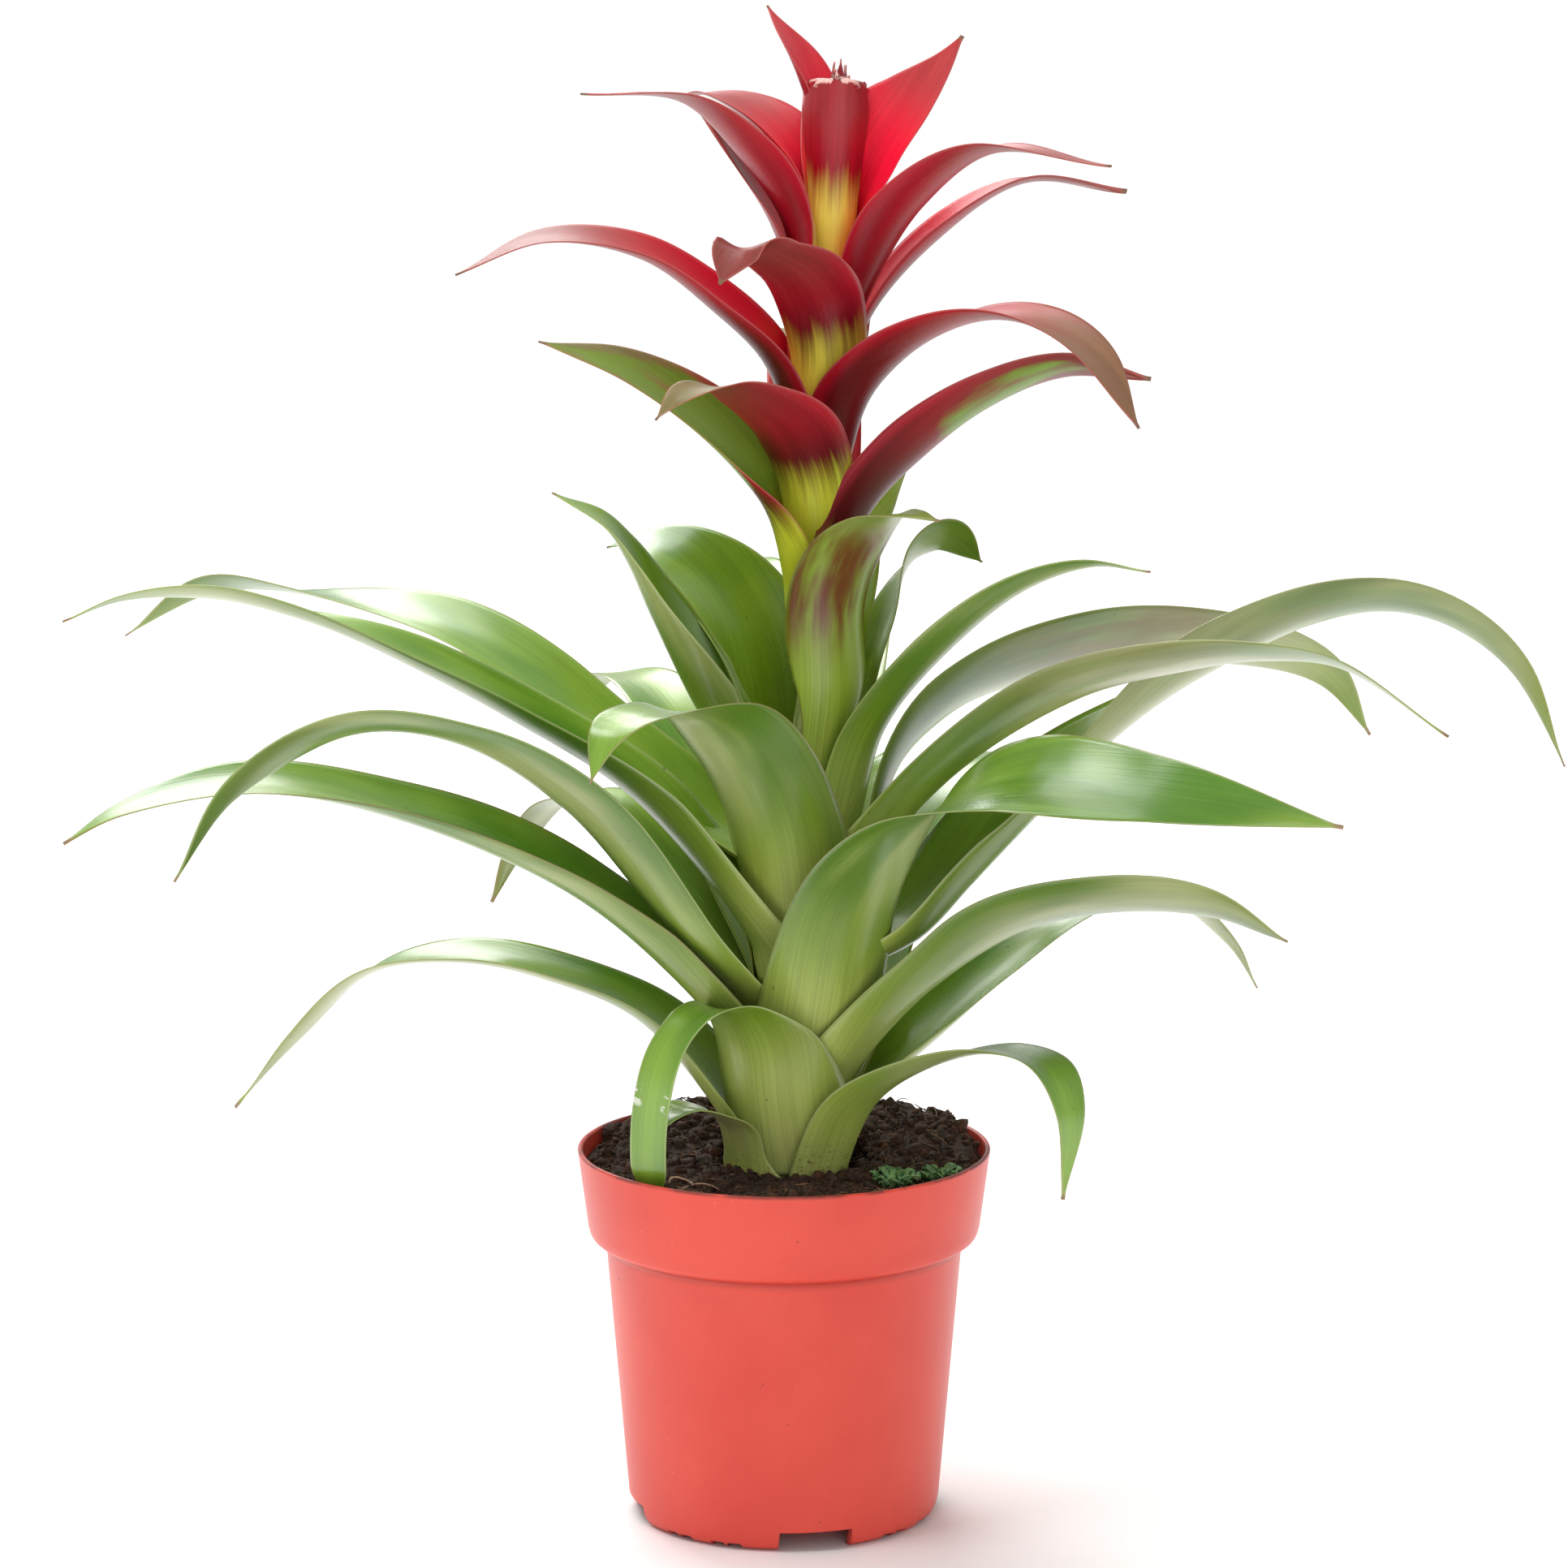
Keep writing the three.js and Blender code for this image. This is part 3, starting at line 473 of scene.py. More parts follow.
def mottled_material(name, scale, detail, low, high, dark, light, roughness):
    """A matt skin of two colours, mottled by a noise between its low and high."""
    material, paint = new_material(name)
    place = paint.node("ShaderNodeTexCoord", output="Object")
    colour = place.noise(scale, detail).smooth(low, high).blend(dark, light)
    finish_material(material, colour, roughness, None, 0)
    return material


fibres.data.materials.append(
    mottled_material("peat_fibre", 90, 1, 0.4, 0.65, tint(58, 36, 26), tint(150, 112, 82), 0.8))


def dry_root():
    """A pale, dry root: a loop and a tail that lie on the peat at the front left."""
    part = np.linspace(0, 1, 40)
    turn = np.radians(200 - 330 * smooth(part, 0, 0.55))
    x = -0.0295 + 0.0032 * np.cos(turn) + 0.013 * smooth(part, 0.5, 1)
    y = -0.031 + 0.0036 * np.sin(turn) - 0.002 * part
    z = soil_height(x, y) + 0.0014 + 0.0012 * np.sin(part * 9)
    return np.stack([x, y, z], axis=-1)[None]


root = mesh_piece("dry_root", *strands(dry_root(), np.array([0.0011])), "soil")
root.data.materials.append(
    mottled_material("dry_root_bark", 900, 2, 0.3, 0.7, tint(150, 108, 84), tint(214, 176, 148), 0.7))


def moss_tuft(x, y, spread, count):
    """Small curled lobes that lean out of one spot, each a bent leaf of four by two quads."""
    middle = np.array([x, y, soil_height(x, y) + 0.0003])
    heading = chance.uniform(0, 2 * np.pi, count)
    start = middle + spread * np.sqrt(chance.uniform(0, 1, (count, 1))) * np.stack(
        [np.cos(heading), np.sin(heading), np.zeros(count)], axis=-1)
    length = chance.uniform(0.0022, 0.0056, count)
    width = length * chance.uniform(0.3, 0.55, count)
    twist = heading + chance.normal(0, 0.6, count)
    u = np.linspace(0, 1, 5)[None, :, None]
    v = np.linspace(-1, 1, 3)[None, None, :]
    out = length[:, None, None] * u * 0.8
    side = width[:, None, None] * v * np.sin(np.pi * (0.12 + 0.8 * u))
    lift = length[:, None, None] * (0.75 * np.sin(u * 2.2) + 0.25 * v ** 2 * u)
    cos, sin = np.cos(twist)[:, None, None], np.sin(twist)[:, None, None]
    flat = np.stack([out * cos - side * sin, out * sin + side * cos, lift + 0 * side], axis=-1)
    points = start[:, None, None] + flat
    faces = grid_faces(5, 3, closed=False)
    return points.reshape(-1, 3), (faces + np.arange(count)[:, None, None] * 15).reshape(-1, 4)


moss_points_a, moss_faces_a = moss_tuft(0.0320, -0.0300, 0.0040, 60)
moss_points_b, moss_faces_b = moss_tuft(0.0440, -0.0270, 0.0034, 45)
moss = mesh_piece("moss_tufts", np.vstack([moss_points_a, moss_points_b]),
                  np.vstack([moss_faces_a, moss_faces_b + len(moss_points_a)]), "soil")
moss.data.materials.append(
    mottled_material("moss", 700, 2, 0.35, 0.68, tint(48, 92, 46), tint(132, 170, 108), 0.5))
thicken = moss.modifiers.new("lobe thickness", "SOLIDIFY")
thicken.thickness = 0.00025

# Stem: one short upright stem, stout among the green leaves and slim in the flower spike. It is
# firm and fibrous, leans a little to the right, and stands in the peat's hole, hidden by sheaths.
STEM_FOOT, STEM_TOP = 0.060, 0.388
FIRST_LEAF, LAST_LEAF = 0.084, 0.212
FIRST_BRACT, LAST_BRACT = 0.245, 0.372
STEM_HEIGHTS = [FIRST_LEAF, LAST_LEAF, FIRST_BRACT, LAST_BRACT]
STEM_RADII = [0.0144, 0.0080, 0.0042, 0.0034]


def leaned(points):
    """The plant's lean: a point moves to +X in proportion to its height."""
    points[..., 0] += LEAN * (points[..., 2] - LEAN_FROM)
    return points


def stem_surface():
    """Radius by height, turned about Z, with fine ribs and a swelling at each leaf's scar."""
    height = np.concatenate([[STEM_FOOT], np.linspace(STEM_FOOT, STEM_TOP, 160), [STEM_TOP]])[:, None]
    angle = np.arange(48) / 48 * 2 * np.pi
    radius = np.interp(height, [STEM_FOOT, *STEM_HEIGHTS], [0.0125, *STEM_RADII])
    radius = radius * (1 - 0.03 * np.abs(np.sin(height * 640)) - 0.01 * np.cos(angle * 12))
    radius[[0, -1]] = 0
    x, y = radius * np.cos(angle), radius * np.sin(angle)
    return leaned(np.stack([x, y, np.broadcast_to(height, x.shape)], axis=-1))


def stem_material():
    """Pale green fibrous skin."""
    material, paint = new_material("stem_skin")
    place = paint.node("ShaderNodeTexCoord", output="Object")
    fibre = place.stretched(1, 1, 0.05).noise(800, 3)
    colour = fibre.smooth(0.35, 0.65).blend(tint(128, 142, 74), tint(176, 186, 116))
    finish_material(material, colour, 0.6, fibre, 0.0002)
    return material


stem_points, stem_faces = capped(stem_surface())
stem = mesh_piece("fibrous_stem", stem_points, FaceList(stem_faces), "stem", "stem")
stem.data.materials.append(stem_material())

# Green leaves: a closed rosette in a loose spiral, lowest first. Each is one thin, leathery blade
# whose base wraps the stem as a sheath, then opens into an arching strap with a pointed tip.
# A row gives its azimuth in degrees, how far it hugs the stem, the reach, height and swing that its
# midrib passes, and where its form differs from GREEN_LEAF: sheath is the half width on either side.
SHEATH_EASE = 0.0006
CLEARANCE = 0.0003
LEAF_THICKNESS = 0.00065
TIP_WIDTH = 0.0008
LEAF_STEPS, LEAF_COLUMNS = 90, 21
GREEN_LEAF = {"slope": 0.25, "sheath": (0.024, 0.024), "blade": 0.033, "channel": 0.030, "neck": 0.38,
              "taper": 0.45, "fullness": 2, "roll": 0, "roll_from": 0.1, "roll_to": 0.45,
              "twist": 0, "twist_from": 0.55, "twist_to": 0.95, "torn": 0}
LEAVES = [
    (225, 0.020, [(0.025, 0.118), (0.036, 0.125), (0.046, 0.128), (0.054, 0.125), (0.058, 0.118)],
     {"sheath": (0.018, 0.018), "blade": 0.017, "taper": 0.5}),
    (305, 0.018, [(0.028, 0.125, 0.002), (0.047, 0.1395, 0.010), (0.071, 0.1475, 0.019), (0.089, 0.1455, 0.0235),
      (0.0956, 0.134, 0.0256), (0.0947, 0.109, 0.0254)],
     {"blade": 0.021, "taper": 0.5, "sheath": (0.013, 0.006), "channel": 0.020, "neck": 0.5}),
    (100, 0.014, [(0.036, 0.126), (0.062, 0.144), (0.092, 0.147), (0.120, 0.134), (0.138, 0.110)],
     {"sheath": (0.024, 0.020), "blade": 0.026}),
    (171, 0.014, [(0.046, 0.145), (0.072, 0.156), (0.100, 0.161), (0.127, 0.156),
      (0.149, 0.136), (0.167, 0.114)],
     {"sheath": (0.024, 0.020), "blade": 0.027, "roll": -4, "channel": 0.018, "twist": 25}),
    (236, 0.022, [(0.027, 0.145), (0.038, 0.156, -0.001), (0.048, 0.156, -0.004), (0.055, 0.147, -0.008),
      (0.0575, 0.130, -0.011),
      (0.0555, 0.109, -0.012), (0.052, 0.101, -0.012)],
     {"sheath": (0.032, 0.032), "blade": 0.0125, "neck": 0.6, "taper": 0.9, "slope": 0.3}),
    (18, 0.012, [(0.039, 0.138), (0.061, 0.157), (0.088, 0.174), (0.115, 0.174),
      (0.134, 0.160), (0.143, 0.146)],
     {"sheath": (0.022, 0.026), "blade": 0.028, "roll": 8, "channel": 0.022, "twist": -25}),
    (64, 0.012, [(0.042, 0.150), (0.072, 0.184), (0.105, 0.202), (0.135, 0.203), (0.160, 0.190)],
     {"sheath": (0.018, 0.024), "blade": 0.028}),
    (336, 0.012, [(0.039, 0.160), (0.061, 0.179), (0.094, 0.189), (0.125, 0.190), (0.147, 0.182)],
     {"sheath": (0.026, 0.026), "blade": 0.027, "roll": -30, "channel": 0.024, "twist": -10,
      "taper": 0.62, "fullness": 3}),
    (190, 0.012, [(0.036, 0.159), (0.069, 0.187), (0.116, 0.2095), (0.163, 0.221),
      (0.197, 0.2145), (0.2128, 0.2053)],
     {"sheath": (0.028, 0.024), "roll": -8, "neck": 0.34, "channel": 0.018, "twist": -8, "blade": 0.038}),
    (282, 0.024, [(0.036, 0.184, 0.002), (0.051, 0.204, 0.009), (0.066, 0.2185, 0.020), (0.086, 0.2285, 0.038),
      (0.107, 0.229, 0.070), (0.127, 0.222, 0.120)],
     {"slope": 0.4, "sheath": (0.019, 0.027), "blade": (0.028, 0.040), "roll": 42, "roll_from": 0.25,
      "roll_to": 0.6, "neck": 0.31}),
    (206, 0.014, [(0.041, 0.176), (0.072, 0.213), (0.108, 0.236), (0.145, 0.242),
      (0.177, 0.228), (0.193, 0.204)],
     {"sheath": (0.024, 0.017), "roll": 12, "neck": 0.42, "slope": 0.15, "channel": 0.026, "twist": 45,
      "twist_from": 0.6}),
    (140, 0.014, [(0.056, 0.186), (0.078, 0.201), (0.098, 0.198), (0.113, 0.182), (0.122, 0.165)],
     {"sheath": (0.020, 0.024), "blade": 0.026}),
    (118, 0.014, [(0.042, 0.182), (0.072, 0.214), (0.106, 0.230), (0.138, 0.226), (0.160, 0.206)],
     {"slope": 0.2, "sheath": (0.012, 0.010), "blade": 0.028}),
    (4, 0.012, [(0.035, 0.172), (0.0485, 0.187), (0.065, 0.2055), (0.086, 0.2265), (0.112, 0.2475), (0.145, 0.264),
      (0.168, 0.267), (0.188, 0.261), (0.205, 0.247), (0.2194, 0.218)],
     {"sheath": (0.030, 0.030), "blade": (0.036, 0.048), "roll": 6, "taper": 0.5, "channel": 0.020,
      "twist": -40, "roll_from": 0.14, "roll_to": 0.34, "twist_from": 0.25, "twist_to": 0.55, "fullness": 1.3}),
    (84, 0.014, [(0.040, 0.196), (0.074, 0.232), (0.114, 0.244), (0.148, 0.232), (0.172, 0.202)],
     {"sheath": (0.014, 0.024), "blade": 0.030}),
    (182, 0.012, [(0.050, 0.212), (0.085, 0.235), (0.125, 0.256), (0.150, 0.2655), (0.175, 0.2715),
      (0.198, 0.2705), (0.2145, 0.264)],
     {"blade": 0.034, "roll": -4, "channel": 0.016, "twist": 30}),
    (252, 0.020, [(0.031, 0.209), (0.046, 0.229, -0.004), (0.062, 0.244, -0.011), (0.079, 0.248, -0.021),
      (0.092, 0.245, -0.029), (0.098, 0.231, -0.032)],
     {"sheath": (0.026, 0.024), "blade": 0.038, "taper": 0.5}),
    (34, 0.012, [(0.032, 0.219), (0.055, 0.2365), (0.090, 0.2445), (0.131, 0.2445), (0.166, 0.240),
      (0.192, 0.2295), (0.2086, 0.2096)],
     {"sheath": (0.022, 0.024), "blade": 0.036, "roll": -44, "channel": 0.034, "roll_from": 0.05,
      "roll_to": 0.3}),
    (338, 0.012, [(0.043, 0.222), (0.075, 0.246), (0.1087, 0.2573), (0.1321, 0.261),
      (0.1556, 0.2597), (0.1879, 0.2418)],
     {"sheath": (0.022, 0.022), "blade": 0.032, "roll": -22}),
    (158, 0.012, [(0.037, 0.203), (0.061, 0.221), (0.087, 0.240), (0.119, 0.255), (0.167, 0.262),
      (0.196, 0.262), (0.2223, 0.2457)],
     {"sheath": (0.024, 0.020), "blade": 0.030, "roll": -14, "channel": 0.020, "twist": 50}),
    (104, 0.014, [(0.032, 0.226), (0.058, 0.254), (0.088, 0.266), (0.118, 0.260), (0.140, 0.238)],
     {"sheath": (0.014, 0.014), "blade": 0.029}),
    (318, 0.018, [(0.023, 0.232), (0.044, 0.257), (0.072, 0.279), (0.098, 0.289), (0.120, 0.289)],
     {"sheath": (0.012, 0.014), "blade": 0.020, "roll": -4, "channel": 0.012, "twist": -20}),
    (203, 0.016, [(0.0235, 0.2235), (0.036, 0.2408), (0.051, 0.2685), (0.059, 0.2845),
      (0.0665, 0.295), (0.082, 0.3043)],
     {"sheath": (0.020, 0.022), "blade": 0.040, "roll": -22, "neck": 0.5, "channel": 0.010,
      "taper": 0.4, "roll_from": 0.05, "roll_to": 0.35}),
    (154, 0.018, [(0.021, 0.250), (0.032, 0.270), (0.046, 0.281), (0.058, 0.283), (0.068, 0.280)],
     {"sheath": (0.020, 0.018), "blade": 0.044, "roll": -20}),
    (24, 0.024, [(0.018, 0.246), (0.0235, 0.266), (0.031, 0.281), (0.040, 0.285), (0.052, 0.277)],
     {"sheath": (0.014, 0.010), "blade": 0.018, "neck": 0.5, "taper": 0.7, "fullness": 3, "roll": -50,
      "roll_from": 0.55, "roll_to": 0.85}),
    (74, 0.030, [(0.019, 0.262), (0.027, 0.280), (0.040, 0.294, -0.006), (0.052, 0.305, -0.013)],
     {"sheath": (0.006, 0.007), "blade": 0.030, "neck": 0.6}),
    (290, 0.032, [(0.015, 0.270, -0.001), (0.023, 0.2875, 0.001), (0.034, 0.2965, 0.004),
      (0.045, 0.299, 0.009), (0.056, 0.2985, 0.014)],
     {"slope": 0.18, "sheath": (0.007, 0.008), "blade": (0.027, 0.040), "neck": 0.45}),
]


def even_curve(points, count):
    """A smooth curve through points (centripetal Catmull-Rom), evenly spaced along its length."""
    points = np.array([(*p, 0)[:3] for p in points])
    ends = np.vstack([2 * points[0] - points[1], points, 2 * points[-1] - points[-2]])
    gaps = np.sqrt(np.linalg.norm(np.diff(ends, axis=0), axis=1))[:, None]
    slopes = np.diff(ends, axis=0) / gaps
    spans = (ends[2:] - ends[:-2]) / (gaps[:-1] + gaps[1:])
    leave = (slopes[:-1] - spans + slopes[1:])
    t = np.linspace(0, 1, 80, endpoint=False)[:, None]
    pieces = []
    for k in range(len(points) - 1):
        start, end = points[k], points[k + 1]
        out, into = leave[k] * gaps[k + 1], leave[k + 1] * gaps[k + 1]
        cubic = (2 * start - 2 * end + out + into) * t ** 3 + (3 * end - 3 * start - 2 * out - into) * t ** 2
        pieces.append(cubic + out * t + start)
    path = np.vstack([*pieces, points[-1:]])
    length = np.concatenate([[0], np.cumsum(np.linalg.norm(np.diff(path, axis=0), axis=1))])
    even = np.linspace(0, length[-1], count)
    return np.stack([np.interp(even, length, axis) for axis in path.T], axis=1), length[-1]


def unit(vectors):
    """Vectors made one long."""
    return vectors / np.linalg.norm(vectors, axis=-1, keepdims=True)


def blade_middle(rib, length, rise, form, across):
    """The leaf's middle surface in its own frame of reach, height and swing, and its half widths. Each row
    is an arc across the midrib: round the stem on the sheath, square to the midrib and opening beyond it."""
    u = np.linspace(0, 1, len(rib))[:, None]
    along = unit(np.gradient(rib, axis=0))
    hug = rise / length
    free = smooth(u, hug * 0.6, hug * 0.6 + 0.22)
    swing = np.array([0, 0, 1.0])
    side = unit(swing + (unit(swing - along * along[:, 2:]) - swing) * free)
    square = unit(np.stack([-along[:, 1], along[:, 0], np.zeros(len(rib))], axis=1))
    inward = np.array([-1.0, 0, 0]) * (1 - free) + square * free
    inward = unit(inward - side * np.sum(inward * side, axis=1, keepdims=True))
    roll = form["roll"] * smooth(u, form["roll_from"], form["roll_to"])
    roll = np.radians(roll + form["twist"] * smooth(u, form["twist_from"], form["twist_to"]))
    level = side * np.cos(roll) + inward * np.sin(roll)
    upward = inward * np.cos(roll) - side * np.sin(roll)
    past = np.clip((u - form["taper"]) / (1 - form["taper"]), 0, 1)
    strap = smooth(u, hug * 0.5, form["neck"])
    narrowing = (1 - past ** form["fullness"]) ** 1.15
    channel = form["channel"] * (1 + smooth(u, 0.25, 1))
    reach = np.maximum(rib[:, :1], 0.005)
    bounded = reach * channel / (reach ** 4 + channel ** 4) ** 0.25
    radius = reach + (bounded - reach) * free
    sheath = np.array(form["sheath"])
    blade = np.array(form["blade"]) / 2
    width = np.maximum(TIP_WIDTH / 2, (sheath + (blade - sheath) * strap) * narrowing)
    wrap = np.minimum(width / radius, np.radians(100))
    angle = np.where(across < 0, wrap[:, :1], wrap[:, 1:]) * across
    arc = rib[:, None] + level[:, None] * (radius * np.sin(angle))[..., None]
    return arc + upward[:, None] * (radius * (1 - np.cos(angle)))[..., None], angle * radius


def blade_sheet(azimuth, rib, length, rise, form, columns):
    """A leaf as a closed sheet: its middle surface turned to its azimuth, raised and lowered by half its
    thickness, thinner at the margins, which wave a little; torn draws the end out unevenly. Returns its
    points, its faces and, for its material, three numbers of place on the blade and three of its part."""
    steps = len(rib)
    across = np.linspace(-1, 1, columns)
    middle, offset = blade_middle(rib, length, rise, form, across)
    u = np.linspace(0, 1, steps)[:, None]
    seed = chance.uniform(0, 2 * np.pi, 4)
    wave = np.sin(u * length / 0.031 + seed[0]) * 0.6 + np.sin(u * length / 0.013 + seed[1]) * 0.4
    ruffle = 0.0007 * wave * across ** 2 * np.sign(across) * smooth(u, 0.35, 0.6)
    lengthwise = unit(np.gradient(middle, axis=0))
    facing = unit(np.cross(lengthwise, np.gradient(middle, axis=1)))
    tear = form["torn"] * (np.sin(across * 23 + seed[2]) + np.sin(across * 9 + seed[3])) * smooth(u, 0.8, 1)
    middle = middle + facing * ruffle[..., None] + lengthwise * tear[..., None]
    half = LEAF_THICKNESS / 2 * (1 - 0.6 * across ** 6)[None, :, None]
    turn = np.radians(azimuth)
    outward = np.array([np.cos(turn), np.sin(turn), 0])
    sideways = np.array([-np.sin(turn), np.cos(turn), 0])
    sheets = [leaned(outward * s[..., :1] + sideways * s[..., 2:] + np.array([0, 0, 1]) * s[..., 1:2])
              for s in (middle + facing * half, middle - facing * half)]
    loop = np.concatenate([sheets[0], sheets[1][:, ::-1]], axis=1)
    j = np.arange(columns - 1)
    opposite = columns * 2 - 1 - j
    foot = np.stack([j + 1, j, opposite, opposite - 1], axis=1)
    tip = np.stack([j, j + 1, opposite - 1, opposite], axis=1) + (steps - 1) * columns * 2
    both = np.concatenate([offset, offset[:, ::-1]], axis=1)
    edge = np.concatenate([np.abs(across), np.abs(across[::-1])])
    widest = np.maximum(np.abs(both[:, :1]), np.abs(both[:, columns - 1:columns]))
    upper = np.concatenate([np.zeros(columns), np.ones(columns)])
    grain = np.stack(np.broadcast_arrays(both * 1000, u * length * 1000, seed[2] * 40), axis=-1)
    part = np.stack(np.broadcast_arrays(u, widest * 1000 * (1 - edge), upper), axis=-1)
    faces = np.vstack([grid_faces(steps, columns * 2), foot, tip])
    return loop.reshape(-1, 3), faces, grain.reshape(-1, 3), part.reshape(-1, 3)


def blade_piece(name, azimuth, node, rise, way, form, slot, tone):
    """One leaf whose midrib hugs the stem from its node on for its rise, then passes the points of its way."""
    seat = np.interp(node, STEM_HEIGHTS, STEM_RADII) + SHEATH_EASE + CLEARANCE + LEAF_THICKNESS / 2
    hugging = [(seat + form["slope"] * rise * part, node + rise * part) for part in (0, 0.5, 1)]
    rib, length = even_curve([*hugging, *way], LEAF_STEPS)
    points, faces, grain, part = blade_sheet(azimuth, rib, length, rise, form, LEAF_COLUMNS)
    piece = mesh_piece(name, points, faces, slot, name)
    put(piece, "grain", grain)
    put(piece, "part", part)
    put(piece, "tone", np.broadcast_to(tone, points.shape))
    return piece


def put(piece, name, values):
    """Stores three numbers for each point of a piece."""
    attribute = piece.data.attributes.new(name, "FLOAT_VECTOR", "POINT")
    attribute.data.foreach_set("vector", np.ascontiguousarray(values, dtype=np.float32).ravel())


def leaf_pattern(paint):
    """What every blade's material starts from: its place on the leaf, veins and streaks along it."""
    grain = paint.node("ShaderNodeAttribute", {"attribute_name": "grain"}, output="Vector")
    part = paint.node("ShaderNodeAttribute", {"attribute_name": "part"}, output="Vector")
    tone = paint.node("ShaderNodeAttribute", {"attribute_name": "tone"}, output="Vector")
    wanted = ((part, "X"), (part, "Y"), (part, "Z"), (grain, "Y"), (tone, "X"), (tone, "Y"), (tone, "Z"))
    split = [paint.node("ShaderNodeSeparateXYZ", {}, {"Vector": vector}, output) for vector, output in wanted]
    fine = grain.stretched(1.9, 0.014, 1).noise(1.0, 3, 0.65)
    broad = grain.stretched(0.22, 0.012, 1).noise(1.0, 2)
    return (grain, fine, broad, *split)


def green_material():
    """Leaf skin: soft green with a greyish bloom and a painted sheen on the crest of the outer face, glossy fresh
    green on the upper one, yellow-green and finely veined on the sheath and on the youngest leaves, with thin
    margins, and a maroon blush that on some leaves is painted shade."""
    material, paint = new_material("green_leaf_skin")
    grain, fine, broad, u, margin, upper, along, rank, blush_and_shade, luck = leaf_pattern(paint)
    drift = grain.stretched(0.05, 0.013, 1).noise(1.0, 2).smooth(0.35, 0.65)
    sheath = (along + drift * 30).smooth(80, 18)
    young = (rank.smooth(0.75, 1.0) * u.smooth(1.0, 0.55))
    outer = drift.blend(tint(80, 114, 24), tint(126, 148, 54))
    # Painted sheen: a pale greyish highlight along the crest of the outer face, over the leaf's own greyish bloom.
    painted_crest_sheen = u.smooth(0.2, 0.5) * u.smooth(1.0, 0.75) * drift
    outer = (painted_crest_sheen * 0.35).blend(outer, tint(184, 178, 148))
    outer = sheath.blend(outer, drift.blend(tint(140, 166, 36), tint(190, 202, 88)))
    outer = ((along + drift * 16).smooth(58, 8) * 0.7).blend(outer, tint(212, 214, 136))
    inner = drift.blend(tint(80, 126, 22), tint(128, 164, 52))
    inner = (sheath * 0.9).blend(inner, tint(124, 150, 16))
    colour = upper.blend(outer, inner)
    colour = (young * 0.6).blend(colour, tint(156, 182, 28))
    veins = grain.stretched(3.4, 0.004, 1).noise(1.0, 2, 0.6)
    colour = colour.shaded(fine.smooth(0.3, 0.7) * 0.14 + 0.93)
    colour = colour.shaded(broad.smooth(0.3, 0.7) * 0.10 + 0.95)
    colour = colour.shaded(1 - veins.smooth(0.46, 0.6) * (sheath * 0.16 + 0.05))
    yellowed = grain.stretched(0.07, 0.02, 1).noise(1.0, 2).smooth(0.52, 0.72) * luck
    colour = (yellowed * 0.4).blend(colour, tint(150, 162, 48))
    # Maroon blush in the middle of the blade; on leaves 14, 18 and 19 this darkening is painted shade.
    maroon_and_shade_mask = grain.stretched(0.12, 0.02, 1).noise(1.0, 3, 0.6) + broad * 0.15
    maroon_and_shade_mask = maroon_and_shade_mask.smooth(0.42, 0.68) * u.smooth(0.3, 0.5) * u.smooth(0.85, 0.62)
    colour = (maroon_and_shade_mask * blush_and_shade).blend(colour, tint(112, 40, 24))
    rim = margin.smooth(0.7, 0.2)
    colour = (rim * 0.5).blend(colour, luck.blend(tint(176, 188, 120), tint(140, 104, 70)))
    dry = (u + fine * 0.02).smooth(0.992, 1.006)
    colour = dry.blend(colour, tint(140, 112, 72))
    fleck = grain.stretched(0.6, 0.3, 1).noise(1.0, 1).smooth(0.78, 0.82)
    peat = grain.stretched(0.9, 1.3, 1).noise(1.0, 3, 0.7).smooth(0.6, 0.64) * along.smooth(36, 18)
    peat = peat * rank.smooth(0.08, 0.03)
    scar = grain.stretched(0.25, 0.5, 1).noise(1.0, 2).smooth(0.52, 0.6) * u.smooth(0.72, 0.74)
    scar = scar * u.smooth(0.78, 0.76) * margin.smooth(3.4, 2)
    scar = scar * rank.smooth(0.13, 0.14) * rank.smooth(0.16, 0.15)
    colour = (scar * 0.8).blend(colour, tint(226, 228, 214))
    colour = (peat * 0.9).blend(colour, tint(38, 26, 20))
    colour = (fleck * 0.6).blend(colour, tint(66, 60, 30))
    roughness = fine * 0.14 + (1 - upper) * 0.12 + 0.18 + sheath * 0.12
    relief = fine * 0.35 + veins * 0.25 + drift * 0.4
    finish_material(material, colour, roughness, relief, 0.0002,
                    Specular_IOR_Level=0.5, Coat_Weight=0.5, Coat_Roughness=0.22)
    return material


leaf_skin = green_material()
# How strong each leaf's maroon blush is; on leaves 14, 18 and 19 it is mainly painted shade that darkens them.
BLUSH_AND_SHADE = {1: 0.25, 14: 0.2, 18: 0.45, 19: 0.25, 23: 0.12, 27: 0.95}
for count, (azimuth, rise, way, change) in enumerate(LEAVES):
    node = FIRST_LEAF + (LAST_LEAF - FIRST_LEAF) * count / (len(LEAVES) - 1)
    tone = (count / len(LEAVES), BLUSH_AND_SHADE.get(count + 1, 0), chance.uniform())
    leaf = blade_piece(f"leaf_{count + 1:02d}", azimuth, node, rise, way, {**GREEN_LEAF, **change},
                       "leaf", tone)
    leaf.data.materials.append(leaf_skin)

